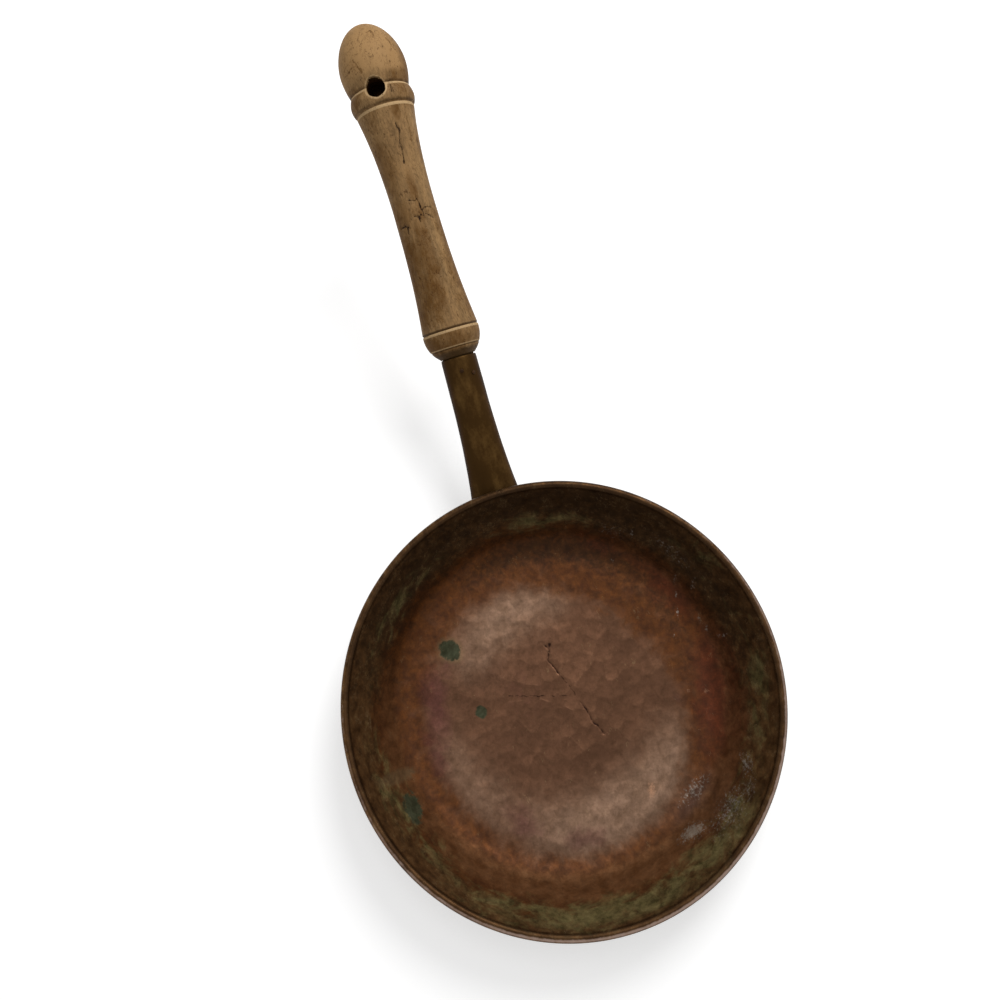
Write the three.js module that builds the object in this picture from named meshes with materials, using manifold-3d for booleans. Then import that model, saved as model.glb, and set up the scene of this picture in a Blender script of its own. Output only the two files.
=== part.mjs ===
import * as THREE from 'three';
import { mergeVertices } from 'three/addons/utils/BufferGeometryUtils.js';
import Module from 'manifold-3d';

// An open warming pan of hammered copper, with a rolled rim, a brazed handle socket and a turned
// wooden handle that is nailed into the socket.
//
// Millimetres, +Z up. The origin is the centre of the flat underside, and the socket's foot is on
// the +X side. The pan is turned about Z. The socket and the handle are nested groups with lines of
// their own along their local X: the socket's starts at the pan's wall, and the handle's starts
// just past the socket's mouth.

const degrees = THREE.MathUtils.degToRad;

const GAP = 0.3;                     // clearance between touching pieces

// Pan
const RIM_RADIUS = 130;              // to the outside of the rolled rim
const PAN_HEIGHT = 51;               // from the underside to the crest of the rim
const SHEET = 1.2;                   // the copper's thickness
const FLARE = degrees(23.6);         // how far the wall leans out from upright
const FLOOR_CORNER = 20;             // inner radius between floor and wall
const WIRE_RADIUS = 1;               // the wire inside the rolled rim
const CURL_SLOT = 0.7;               // left open between the rolled edge and the wall

// Socket
const SOCKET_RISE = degrees(24);     // slope of the socket and the handle
const SOCKET_YAW = degrees(-2);      // the socket points a little to one side of straight out
const SOCKET_LENGTH = 108.6;         // along its line, from the pan's wall to the mouth
const SOCKET_WALL = 1.2;
const MOUTH_RADIUS = 11.5;
const BARREL_LENGTH = 24;            // from the mouth to where the foot begins to spread
const BARREL_TAPER = 0.01;           // half width gained for each mm away from the mouth
const FOOT_CURVE = 2.3;              // power of the spreading curve
const FOOT_HALF_WIDTH = 18.4;
const FOOT_MARGIN = 16.5;            // above and below the foot, which is flattened to fit the wall
const FOOT_ABOVE_MIDDLE = 0.5;       // from half the pan's height up to the socket's line
const SEAM_WIDTH = 1.6;              // the brazed strip along the underside
const BRAZE_LEG = 2.6;               // size of the fillet round the foot

// Wooden handle. Its lengths follow each other from the face that sits on the socket.
const HANDLE_YAW = degrees(1.5);     // the handle is set a little off the socket's line
const TENON_LENGTH = 34;             // from the socket's mouth into its bore
const BALL_LENGTH = 17.2;            // from the face to the lower ring line
const BALL_WIDEST = 15;
const BALL_SWELL = 7.2;              // how much wider than its face the ball grows
const FINE_LINE = 5.6;               // from the face to a fine line on the ball
const LOWER_GRIP_LENGTH = 77.8;      // from the lower ring line to the waist
const LOWER_GRIP_CURVE = 2;          // powers of the two curves that leave the waist
const WAIST_RADIUS = 13.8;
const UPPER_GRIP_LENGTH = 61.3;      // from the waist to the upper ring line
const UPPER_GRIP_CURVE = 2.35;
const UPPER_GRIP_RADIUS = 18.6;      // where the grip ends at the upper ring line
const BEAD_LENGTH = 12.7;
const BEAD_SWELL = 1.8;              // how far the bead stands out past its two ends
const EGG_BASE_LENGTH = 14.3;        // from the groove under the egg to its widest place
const EGG_END_LENGTH = 27.5;         // and from there to its tip
const EGG_RADIUS = 21.2;
const EGG_FULLNESS = 1.8;            // 2 makes an ellipse, and less a more pointed end
const GROOVE_DEPTH = 2.5;            // from the egg's widest radius to the groove under it
const LINE_DEPTH = 0.5;              // of the incised lines
const LINE_WIDTH = 1.2;
const HANG_HOLE_RADIUS = 5.5;
const HANG_HOLE_BELOW_GROOVE = 1.6;
const HANG_HOLE_ROLL = degrees(-8);  // turn of the hole about the handle's line

// Nails that hold the tenon, each with its place behind the mouth and its turn round the socket
const NAILS = [
  { name: 'handle_nail_1', behindMouth: 9.1, roll: degrees(-4) },
  { name: 'handle_nail_2', behindMouth: 11.8, roll: degrees(32) },
];
const NAIL_RADIUS = 0.6;
const NAIL_HEAD_SPREAD = 0.7;        // how far the head stands out past the shank
const NAIL_HEAD_HEIGHT = 0.6;
const NAIL_LENGTH = 9;               // from under the head to the point

// Facets
const PAN_SIDES = 72;
const CORNER_STEPS = 7;
const CURL_STEPS = 12;
const WIRE_SIDES = 10;
const SOCKET_SIDES = 36;
const SOCKET_STEPS = 9;
const HANDLE_SIDES = 36;
const BALL_STEPS = 6;
const GRIP_STEPS = 7;
const BEAD_STEPS = 6;
const EGG_BASE_STEPS = 3;
const EGG_END_STEPS = 6;
const HOLE_SIDES = 24;
const NAIL_SIDES = 10;

const { lerp } = THREE.MathUtils;
const wasm = await Module();
wasm.setup();

// --- Shapes ------------------------------------------------------------------------------------

// A list of make(0) to make(1) in even steps, both ends included.
function along(steps, make) {
  return Array.from({ length: steps + 1 }, (_, step) => make(step / steps));
}

// A list of make(angle) for even angles that go once round.
function around(sides, make) {
  return Array.from({ length: sides }, (_, side) => make((2 * Math.PI * side) / sides));
}

function arc(centre, radius, from, to, steps) {
  return along(steps, (share) => {
    const angle = lerp(from, to, share);
    return new THREE.Vector2(Math.cos(angle), Math.sin(angle)).multiplyScalar(radius).add(centre);
  });
}

// A profile of (radius, height) points turned about Z. It runs anticlockwise round the material.
function turnedAboutZ(profile, sides) {
  return new THREE.LatheGeometry(profile, sides).rotateX(Math.PI / 2);
}

// The same about X, for a profile of (radius, distance along X) points.
function turnedAboutX(profile, sides) {
  return new THREE.LatheGeometry(profile, sides).rotateZ(-Math.PI / 2);
}

// A closed skin over rings of points. Each ring is joined to the next, and the last to the first.
function ringSkin(rings) {
  const sides = rings[0].length;
  const indices = [];
  for (let ring = 0; ring < rings.length; ring += 1) {
    const here = ring * sides;
    const next = ((ring + 1) % rings.length) * sides;
    for (let side = 0; side < sides; side += 1) {
      const beside = (side + 1) % sides;
      indices.push(here + side, here + beside, next + beside);
      indices.push(here + side, next + beside, next + side);
    }
  }
  const geometry = new THREE.BufferGeometry().setFromPoints(rings.flat());
  geometry.setIndex(indices);
  geometry.computeVertexNormals();
  return geometry;
}

function solidOf(geometry) {
  const bare = geometry.clone();
  bare.deleteAttribute('normal');
  bare.deleteAttribute('uv');
  const merged = mergeVertices(bare);
  const vertProperties = merged.attributes.position.array;
  const triVerts = new Uint32Array(merged.index.array);
  return new wasm.Manifold(new wasm.Mesh({ numProp: 3, vertProperties, triVerts }));
}

function geometryOf(solid) {
  const mesh = solid.getMesh();
  const geometry = new THREE.BufferGeometry();
  geometry.setAttribute('position', new THREE.BufferAttribute(mesh.vertProperties, 3));
  geometry.setIndex(new THREE.BufferAttribute(mesh.triVerts, 1));
  geometry.computeVertexNormals();
  return geometry;
}

function cut(geometry, tools) {
  return geometryOf(tools.reduce((solid, tool) => solid.subtract(solidOf(tool)), solidOf(geometry)));
}

// --- Materials ---------------------------------------------------------------------------------

function patinatedCopper() {
  return new THREE.MeshStandardMaterial({ color: 0x7d4a35, roughness: 0.45, metalness: 1 });
}

function darkBrass() {
  return new THREE.MeshStandardMaterial({ color: 0x4f3a22, roughness: 0.5, metalness: 1 });
}

function iron() {
  return new THREE.MeshStandardMaterial({ color: 0x3b342e, roughness: 0.6, metalness: 1 });
}

function wornWood() {
  return new THREE.MeshStandardMaterial({ color: 0x8f6b45, roughness: 0.7, metalness: 0 });
}

const part = new THREE.Group();

function add(group, name, geometry, material) {
  const mesh = new THREE.Mesh(geometry, material);
  mesh.name = name;
  group.add(mesh);
  return mesh;
}

// --- Pan ---------------------------------------------------------------------------------------
// In the section, `corner` is the centre of the round between floor and wall, and `bead` is the
// centre of the wire. Each face of the wall is straight and touches a circle round either centre,
// so the direction square to the wall finds all four ends.

const bore = WIRE_RADIUS + GAP;
const beadRadius = bore + SHEET;
const bead = new THREE.Vector2(RIM_RADIUS - beadRadius, PAN_HEIGHT - beadRadius);
const outOfWall = new THREE.Vector2(Math.cos(FLARE), -Math.sin(FLARE));
const upWall = new THREE.Vector2(Math.sin(FLARE), Math.cos(FLARE));
const outerCorner = FLOOR_CORNER + SHEET;
const centresApart = beadRadius + FLOOR_CORNER + Math.sin(FLARE) * (bead.y - outerCorner);
const corner = new THREE.Vector2(bead.x - centresApart / Math.cos(FLARE), outerCorner);

function panGeometry() {
  const wallSide = Math.PI - FLARE;
  const curlEnd = wallSide - 2 * Math.PI + Math.acos((bore - CURL_SLOT) / beadRadius);
  const down = -Math.PI / 2;
  const profile = [
    new THREE.Vector2(0, 0),
    ...arc(corner, outerCorner, down, -FLARE, CORNER_STEPS),
    ...arc(bead, bore, wallSide, curlEnd, CURL_STEPS),
    ...arc(bead, beadRadius, curlEnd, wallSide, CURL_STEPS),
    ...arc(corner, FLOOR_CORNER, -FLARE, down, CORNER_STEPS),
    new THREE.Vector2(0, SHEET),
  ];
  return turnedAboutZ(profile, PAN_SIDES);
}

add(part, 'pan', panGeometry(), patinatedCopper());

const wire = new THREE.TorusGeometry(bead.x, WIRE_RADIUS, WIRE_SIDES, PAN_SIDES);
add(part, 'rim_wire', wire, iron()).position.z = bead.y;

// How far a point is outside the pan's outer face: its wall, its corner or its flat underside.
function clearOfPan(point) {
  const fromCorner = new THREE.Vector2(Math.hypot(point.x, point.y), point.z).sub(corner);
  if (fromCorner.dot(upWall) > 0) return fromCorner.dot(outOfWall) - outerCorner;
  if (fromCorner.x > 0) return fromCorner.length() - outerCorner;
  return -point.z;
}

// --- Socket ------------------------------------------------------------------------------------

const footHeight = PAN_HEIGHT / 2 + FOOT_ABOVE_MIDDLE;
const wallReach = outerCorner + (footHeight - corner.y) * Math.sin(FLARE);
const footRadius = corner.x + wallReach / Math.cos(FLARE);

const socket = new THREE.Group();
socket.position.set(footRadius, 0, footHeight);
socket.rotation.order = 'ZYX';
socket.rotation.set(0, -SOCKET_RISE, SOCKET_YAW);
part.add(socket);
socket.updateMatrixWorld();

// Half width and half height of the tube, so many mm behind its mouth.
function halfSizes(behindMouth) {
  const spreading = Math.max(0, behindMouth - BARREL_LENGTH) / (SOCKET_LENGTH - BARREL_LENGTH);
  const footSpread = FOOT_HALF_WIDTH - MOUTH_RADIUS - BARREL_TAPER * SOCKET_LENGTH;
  return {
    width: MOUTH_RADIUS + BARREL_TAPER * behindMouth + footSpread * spreading ** FOOT_CURVE,
    height: lerp(MOUTH_RADIUS, PAN_HEIGHT / 2 - FOOT_MARGIN, behindMouth / SOCKET_LENGTH),
  };
}

// A point of the tube's skin, moved outwards by `outset`. The angle turns from Y towards Z.
function socketPoint(behindMouth, angle, outset) {
  const half = halfSizes(behindMouth);
  const y = (half.width + outset) * Math.cos(angle);
  const z = (half.height + outset) * Math.sin(angle);
  return new THREE.Vector3(SOCKET_LENGTH - behindMouth, y, z);
}

// How far behind the mouth the skin comes as near to the pan as `clearance`. Each step goes in by
// the room that is left, so it closes on the place without passing it.
function footOf(angle, outset, clearance) {
  const enoughSteps = 80;
  let behindMouth = 0;
  for (let step = 0; step < enoughSteps; step += 1) {
    const place = socketPoint(behindMouth, angle, outset).applyMatrix4(socket.matrixWorld);
    behindMouth += clearOfPan(place) - clearance;
  }
  return behindMouth;
}

// Rings of one face of the tube, from the foot to the mouth.
function tubeFace(outset) {
  return along(SOCKET_STEPS, (share) => around(SOCKET_SIDES, (angle) => {
    return socketPoint(footOf(angle, outset, GAP) * (1 - share), angle, outset);
  }));
}

const tube = ringSkin([...tubeFace(0), ...tubeFace(-SOCKET_WALL).reverse()]);

// A bar along the tube's underside, for the slit between the edges of the rolled sheet and for the
// strip of braze that fills it.
function seamBar(width) {
  const bar = new THREE.BoxGeometry(2 * SOCKET_LENGTH, width, 2 * MOUTH_RADIUS);
  return bar.translate(SOCKET_LENGTH / 2, 0, -MOUTH_RADIUS);
}

const seam = solidOf(tube).intersect(solidOf(seamBar(SEAM_WIDTH)));
add(socket, 'socket_seam', geometryOf(seam), darkBrass());

// The fillet of braze that ties the foot to the pan. Its section is a triangle with one side along
// the socket and one along the pan, clear of both by the gap.
function footBraze() {
  const leg = GAP + BRAZE_LEG;
  const section = [
    { outset: GAP, clearance: GAP },
    { outset: leg, clearance: GAP },
    { outset: GAP, clearance: leg },
  ];
  return ringSkin(section.map(({ outset, clearance }) => around(SOCKET_SIDES, (angle) => {
    return socketPoint(footOf(angle, outset, clearance), angle, outset);
  })));
}

add(socket, 'foot_braze', footBraze(), darkBrass());

// --- Wooden handle -----------------------------------------------------------------------------
// Its face sits far enough out of the mouth for the handle's small turn to leave the gap all round.

const seat = GAP + MOUTH_RADIUS * Math.abs(Math.sin(HANDLE_YAW));
const handle = new THREE.Group();
handle.position.x = SOCKET_LENGTH + seat;
handle.rotation.z = HANDLE_YAW;
socket.add(handle);
handle.updateMatrixWorld();

const waist = BALL_LENGTH + LOWER_GRIP_LENGTH;
const upperRing = waist + UPPER_GRIP_LENGTH;
const groove = upperRing + BEAD_LENGTH;
const eggWidest = groove + EGG_BASE_LENGTH;
const handleEnd = eggWidest + EGG_END_LENGTH;

const faceRadius = MOUTH_RADIUS - GAP;
const ballRadius = faceRadius + BALL_SWELL;
const grooveRadius = EGG_RADIUS - GROOVE_DEPTH;

// Radius of an ellipse that is `end` at one end of `length` and `widest` at the other.
function swelling(end, widest, length, fromWidest) {
  const cutShare = Math.sqrt(1 - (end / widest) ** 2);
  return widest * Math.sqrt(1 - ((cutShare * fromWidest) / length) ** 2);
}

function ballRadiusAt(x) {
  return swelling(faceRadius, ballRadius, BALL_WIDEST, BALL_WIDEST - x);
}

function gripRadiusAt(x) {
  if (x < waist) {
    const share = (waist - x) / LOWER_GRIP_LENGTH;
    return lerp(WAIST_RADIUS, ballRadiusAt(BALL_LENGTH), share ** LOWER_GRIP_CURVE);
  }
  const share = (x - waist) / UPPER_GRIP_LENGTH;
  return lerp(WAIST_RADIUS, UPPER_GRIP_RADIUS, share ** UPPER_GRIP_CURVE);
}

function beadRadiusAt(x) {
  const share = (x - upperRing) / BEAD_LENGTH;
  return lerp(UPPER_GRIP_RADIUS, grooveRadius, share) + BEAD_SWELL * Math.sin(Math.PI * share);
}

function eggRadiusAt(x) {
  if (x < eggWidest) return swelling(grooveRadius, EGG_RADIUS, EGG_BASE_LENGTH, eggWidest - x);
  const share = Math.min(1, (x - eggWidest) / EGG_END_LENGTH);
  return EGG_RADIUS * Math.sqrt(1 - share ** EGG_FULLNESS);
}

function handleRadiusAt(x) {
  if (x < BALL_LENGTH) return ballRadiusAt(x);
  if (x < upperRing) return gripRadiusAt(x);
  if (x < groove) return beadRadiusAt(x);
  return eggRadiusAt(x);
}

// The outline of the turned wood outside the socket, with its three incised lines.
function handleOutline() {
  const places = [
    ...along(BALL_STEPS, (share) => lerp(0, BALL_LENGTH, share)),
    ...along(GRIP_STEPS, (share) => lerp(BALL_LENGTH, waist, share)),
    ...along(GRIP_STEPS, (share) => lerp(waist, upperRing, share)),
    ...along(BEAD_STEPS, (share) => lerp(upperRing, groove, share)),
    ...along(EGG_BASE_STEPS, (share) => lerp(groove, eggWidest, share)),
    ...along(EGG_END_STEPS, (share) => lerp(eggWidest, handleEnd, Math.sin((share * Math.PI) / 2))),
  ];
  const lines = [FINE_LINE, BALL_LENGTH, upperRing];
  const clearOfLines = (x) => lines.every((line) => Math.abs(x - line) > LINE_WIDTH / 2);
  const skin = [...new Set(places)].filter(clearOfLines);
  const edges = lines.flatMap((line) => [line - LINE_WIDTH / 2, line + LINE_WIDTH / 2]);
  const points = [...skin, ...edges].map((x) => new THREE.Vector2(handleRadiusAt(x), x));
  const bottoms = lines.map((x) => new THREE.Vector2(handleRadiusAt(x) - LINE_DEPTH, x));
  return [...points, ...bottoms].sort((a, b) => a.y - b.y);
}

// The tenon is as thick as the tube's bore lets in, at the mouth and at its own end, where the
// handle's turn carries it to one side.
function tenonOutline() {
  const deep = halfSizes(TENON_LENGTH);
  const drift = TENON_LENGTH * Math.abs(Math.sin(HANDLE_YAW));
  const clearance = SOCKET_WALL + GAP;
  const endRadius = Math.min(deep.height, deep.width) - drift - clearance;
  return [
    new THREE.Vector2(0, -seat - TENON_LENGTH),
    new THREE.Vector2(endRadius, -seat - TENON_LENGTH),
    new THREE.Vector2(MOUTH_RADIUS - clearance, 0),
  ];
}

const throughHandle = 3 * EGG_RADIUS;
const hangHole = new THREE.CylinderGeometry(HANG_HOLE_RADIUS, HANG_HOLE_RADIUS, throughHandle, HOLE_SIDES)
  .rotateX(Math.PI / 2 + HANG_HOLE_ROLL)
  .translate(groove - HANG_HOLE_BELOW_GROOVE, 0, 0);

// --- Nails -------------------------------------------------------------------------------------
// A nail points at the tube's middle, with its head just clear of the tube's skin.

function placedNail(nail, profile) {
  const skin = halfSizes(nail.behindMouth).height;
  return turnedAboutZ(profile, NAIL_SIDES)
    .translate(0, 0, skin)
    .rotateX(nail.roll)
    .translate(SOCKET_LENGTH - nail.behindMouth, 0, 0);
}

function nailGeometry(nail) {
  const headRadius = NAIL_RADIUS + NAIL_HEAD_SPREAD;
  return placedNail(nail, [
    new THREE.Vector2(0, -NAIL_LENGTH),
    new THREE.Vector2(NAIL_RADIUS, NAIL_RADIUS - NAIL_LENGTH),
    new THREE.Vector2(NAIL_RADIUS, GAP),
    new THREE.Vector2(headRadius, GAP),
    new THREE.Vector2(headRadius, GAP + NAIL_HEAD_HEIGHT / 2),
    new THREE.Vector2(headRadius / 2, GAP + NAIL_HEAD_HEIGHT),
    new THREE.Vector2(0, GAP + NAIL_HEAD_HEIGHT),
  ]);
}

// The hole that a nail's shank goes through, larger than the shank by the gap.
function nailHole(nail) {
  const holeRadius = NAIL_RADIUS + GAP;
  return placedNail(nail, [
    new THREE.Vector2(0, -NAIL_LENGTH - GAP),
    new THREE.Vector2(holeRadius, NAIL_RADIUS - NAIL_LENGTH - GAP),
    new THREE.Vector2(holeRadius, 2 * GAP),
    new THREE.Vector2(0, 2 * GAP),
  ]);
}

for (const nail of NAILS) add(socket, nail.name, nailGeometry(nail), iron());

const nailHoles = NAILS.map(nailHole);
const slit = seamBar(SEAM_WIDTH + 2 * GAP);
add(socket, 'handle_socket', cut(tube, [slit, ...nailHoles]), darkBrass());

const socketToHandle = handle.matrix.clone().invert();
const handleCuts = [hangHole, ...nailHoles.map((hole) => hole.clone().applyMatrix4(socketToHandle))];
const turnedWood = turnedAboutX([...tenonOutline(), ...handleOutline()], HANDLE_SIDES);
add(handle, 'wood_handle', cut(turnedWood, handleCuts), wornWood());

export default part;
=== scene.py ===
"""An open copper warming pan with a brazed handle socket and a nailed wooden handle.

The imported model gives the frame: metres, +Z up, the origin under the middle of the pan and the
handle on the +X side. Sizes below are in millimetres unless a property shows its own unit.
"""
import math
import random

import bpy
import numpy as np
from mathutils import Euler, Matrix, Vector, kdtree, noise


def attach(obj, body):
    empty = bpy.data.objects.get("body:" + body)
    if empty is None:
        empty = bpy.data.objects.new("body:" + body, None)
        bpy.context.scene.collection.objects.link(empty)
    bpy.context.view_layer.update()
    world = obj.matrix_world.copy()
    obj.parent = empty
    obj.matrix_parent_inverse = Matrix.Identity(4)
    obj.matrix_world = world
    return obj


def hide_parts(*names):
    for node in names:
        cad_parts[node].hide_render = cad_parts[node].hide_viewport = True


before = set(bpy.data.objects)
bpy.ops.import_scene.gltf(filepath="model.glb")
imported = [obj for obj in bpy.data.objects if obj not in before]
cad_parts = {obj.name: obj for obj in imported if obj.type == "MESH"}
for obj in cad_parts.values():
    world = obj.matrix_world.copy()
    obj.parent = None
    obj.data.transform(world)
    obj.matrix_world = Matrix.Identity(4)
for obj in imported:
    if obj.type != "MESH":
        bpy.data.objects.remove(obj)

bl_info = {
    "name": "Copper warming pan",
    "version": (1, 0, 0),
    "blender": (4, 5, 0),
    "location": "3D View > Sidebar > Warming Pan",
    "description": "Builds the looks of an open warming pan over its fixed frame",
    "category": "Add Mesh",
}

MM = 0.001
GAP = 0.3                            # clearance between touching pieces
NO_CRACK = 9.0                       # a distance from which no crack shows


def linear(hex_colour):
    """A colour written as sRGB hex, in the linear values that shaders take."""
    channels = [int(hex_colour[at:at + 2], 16) / 255 for at in (1, 3, 5)]
    return [c / 12.92 if c <= 0.04045 else ((c + 0.055) / 1.055) ** 2.4 for c in channels]


# --- Sizes and colours that a user would change ---------------------------------------------------


def length(name, description, millimetres):
    """A size that a user can change, with its default in mm."""
    return bpy.props.FloatProperty(
        name=name, description=description, default=millimetres * MM, min=0, unit="LENGTH")


def colour(name, description, hex_colour):
    """A colour that a user can change, with its default in sRGB hex."""
    return bpy.props.FloatVectorProperty(
        name=name, description=description, default=linear(hex_colour), size=3,
        min=0, max=1, subtype="COLOR")


class PanSettings(bpy.types.PropertyGroup):
    """The copper bowl."""
    sheet: length("Sheet", "Thickness of the copper", 1.2)
    corner: length("Floor corner", "Inner radius between floor and wall", 20)
    hammer_mark: length("Hammer mark", "Width of one planishing mark", 12)
    mark_depth: length("Mark depth", "Depth of a planishing mark", 0.3)
    dish: length("Dish", "How far the floor rises towards the wall", 2.8)
    flare: bpy.props.FloatProperty(
        name="Flare", description="Lean of the wall from upright",
        default=math.radians(23.6), unit="ROTATION")
    floor_colour: colour("Floor", "Brown copper on the worn floor", "#503728")
    heat_dark: colour("Heat stain, dark", "Red-brown oxide round the floor", "#44240e")
    heat_light: colour("Heat stain, light", "Red-brown oxide round the floor", "#5f3615")
    wall_dark: colour("Wall, dark", "Olive-brown patina on the wall", "#3a2511")
    wall_light: colour("Wall, light", "Olive-brown patina on the wall", "#66482a")
    green_dark: colour("Verdigris, dark", "Spots of green corrosion", "#313422")
    green_light: colour("Verdigris, light", "Spots of green corrosion", "#4f523d")
    # This colour is also the rim's painted highlight.
    rubbed_and_highlight_colour: colour("Rubbed rim", "Copper rubbed nearly bare on the rim", "#9a8478")


class SocketSettings(bpy.types.PropertyGroup):
    """The brass socket and its braze."""
    wall: length("Sheet", "Thickness of the brass", 1.2)
    mouth_radius: length("Mouth radius", "Outside radius at the mouth", 11.5)
    foot_half_width: length("Foot half width", "Half the width where it meets the pan", 18.4)
    braze_leg: length("Braze leg", "Size of the fillet round the foot", 2.6)
    patina_colour: colour("Patina", "Dark olive-brown patina", "#3c2913")
    # This colour is also the socket's painted highlight.
    rubbed_and_highlight_colour: colour("Rubbed", "Brass that handling keeps lighter", "#604726")
    braze_colour: colour("Braze", "Dark cast braze", "#2e2412")


class HandleSettings(bpy.types.PropertyGroup):
    """The turned handle and its nails."""
    waist_radius: length("Waist radius", "Radius at the thinnest place of the grip", 13.8)
    egg_radius: length("Egg radius", "Radius at the widest place of the end", 21.2)
    hole_radius: length("Hole radius", "Radius of the hanging hole", 5.5)
    wood_colour: colour("Wood", "Worn, bare beech", "#91714a")
    pale_colour: colour("Pale wood", "Wood rubbed clean on edges", "#bf9f74")
    stain_colour: colour("Stain", "Brown stains along the grain", "#5e3d15")
    iron_colour: colour("Iron", "Dark nails and rim wire", "#2a1d12")


class WarmingPanSettings(bpy.types.PropertyGroup):
    """All settings of the object."""
    pan: bpy.props.PointerProperty(type=PanSettings)
    socket: bpy.props.PointerProperty(type=SocketSettings)
    handle: bpy.props.PointerProperty(type=HandleSettings)


# --- Mesh helpers ---------------------------------------------------------------------------------


def mesh_piece(name, points, faces, material, matrix=None):
    """A smooth-shaded piece from points in mm, riding on the root body. The matrix puts points
    that lie along the handle into the frame."""
    mesh = bpy.data.meshes.new(name)
    mesh.from_pydata((np.asarray(points) * MM).tolist(), [], faces)
    if matrix is not None:
        mesh.transform(matrix)
    mesh.validate()
    mesh.shade_smooth()
    mesh.materials.append(material)
    piece = bpy.data.objects.new(name, mesh)
    bpy.context.scene.collection.objects.link(piece)
    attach(piece, "root")
    return piece


def turns(count):
    """That many equal turns of a full round, in radians."""
    return np.linspace(0, 2 * math.pi, count, endpoint=False)


def grid_faces(rows, columns, rows_close=False):
    """Quads of rings of points, stored ring after ring. The last ring can join the first."""
    faces = []
    for row in range(rows if rows_close else rows - 1):
        here, there = row * columns, (row + 1) % rows * columns
        for column in range(columns):
            beside = (column + 1) % columns
            faces.append((here + column, here + beside, there + beside, there + column))
    return faces


def capped_faces(rows, columns):
    """Quads of rings of points, and a cap on the first ring and on the last."""
    last = (rows - 1) * columns
    return [*grid_faces(rows, columns), tuple(range(columns))[::-1],
            tuple(range(last, last + columns))]


def arc(centre, radius, start, end, steps):
    """Points of an arc in a section, from one angle to another, both ends included."""
    turn = np.linspace(start, end, steps + 1)
    return np.c_[centre[0] + radius * np.cos(turn), centre[1] + radius * np.sin(turn)]


def normals_of(path):
    """Directions square to an open path in a section, to its left."""
    along = np.gradient(path, axis=0)
    along /= np.linalg.norm(along, axis=1, keepdims=True)
    return np.c_[-along[:, 1], along[:, 0]]


def noise_at(points, size, seed):
    """Soft noise from about -1 to 1 at points in mm, with features of the given size in mm."""
    shift = Vector((13.7, -5.1, 8.3)) * seed
    return np.array([noise.noise(Vector(p) / size + shift) for p in points])


def add_attribute(piece, name, values):
    """Stores one number for each point of a piece, for its material."""
    attribute = piece.data.attributes.new(name, "FLOAT", "POINT")
    attribute.data.foreach_set("value", np.asarray(values, np.float32))


def crack_distance(points, lines):
    """Distance of points of a flat surface to the nearest crack. It grows faster past its ends."""
    nearest = np.full(len(points), 1e6)
    for line in lines:
        for start, end in zip(line[:-1], line[1:]):
            along = np.subtract(end, start)
            reach = np.linalg.norm(along)
            along = along / reach
            offset = points - start
            travel = offset @ along
            across = offset @ np.array((-along[1], along[0]))
            outside = np.maximum(0, np.maximum(-travel, travel - reach))
            nearest = np.minimum(nearest, np.abs(across) + 1.5 * outside)
    return nearest


def smoothstep(values, start, end):
    """0 up to start, 1 from end, and an easy slope between."""
    share = np.clip((values - start) / (end - start), 0, 1)
    return share * share * (3 - 2 * share)


def bell(values, middle, width):
    """1 in the middle, falling away on both sides."""
    return np.exp(-((values - middle) / width) ** 2)


def around_from(turn, places):
    """Degrees from a turn to other places round a circle, the short way."""
    return (places - turn + 180) % 360 - 180


# --- Material helpers -----------------------------------------------------------------------------


def rgba(shade):
    """A colour as a socket takes it, from sRGB hex or from linear values."""
    return (*(linear(shade) if isinstance(shade, str) else shade), 1)


def add_node(owner, kind, inputs=(), stops=(), **settings):
    """Adds a node with its settings, its values and links, and a ramp's colour stops. Inputs go
    by name, or in the order of the sockets in use. A node given as a value is linked from its
    first output in use."""
    node = owner.node_tree.nodes.new("ShaderNode" + kind)
    for name, value in settings.items():
        setattr(node, name, value)
    if isinstance(inputs, dict):
        given = [(node.inputs[name], value) for name, value in inputs.items()]
    else:
        given = zip([socket for socket in node.inputs if socket.enabled], inputs)
    for socket, value in given:
        if isinstance(value, bpy.types.Node):
            value = next(output for output in value.outputs if output.enabled)
        if isinstance(value, bpy.types.NodeSocket):
            owner.node_tree.links.new(value, socket)
        else:
            socket.default_value = rgba(value) if socket.type == "RGBA" else value
    if stops:
        ramp = node.color_ramp.elements
        while len(ramp) < len(stops):
            ramp.new(0.5)
        for element, (place, shade) in zip(ramp, stops):
            element.position = place
            element.color = rgba(shade)
    return node


def new_material(name):
    """An empty material with nodes."""
    material = bpy.data.materials.new(name)
    material.use_nodes = True
    material.node_tree.nodes.clear()
    return material


def finish_material(m, height, strength, depth, sockets):
    """Ends a material with its relief, from a height pattern and a depth in mm, and its shader."""
    bump = add_node(m, "Bump", {"Height": height, "Strength": strength, "Distance": depth * MM})
    shader = add_node(m, "BsdfPrincipled", {**sockets, "Normal": bump})
    add_node(m, "OutputMaterial", {"Surface": shader})
    return m


def places_along(m, matrix):
    """Coordinates in metres along and across a piece that lies along the matrix's X."""
    return add_node(m, "Mapping", {
        "Vector": add_node(m, "TexCoord").outputs["Object"], "Location": matrix.translation,
        "Rotation": matrix.to_euler()}, vector_type="TEXTURE")


def per_mm(size):
    """The Scale of a texture on coordinates in metres whose features are to be `size` mm."""
    return 1 / (size * MM)


def add_shares(m, base, *shares):
    """A value, plus each of the masks times its share."""
    for mask, share in shares:
        base = add_node(m, "Math", (mask, share, base), operation="MULTIPLY_ADD")
    return base


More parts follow.
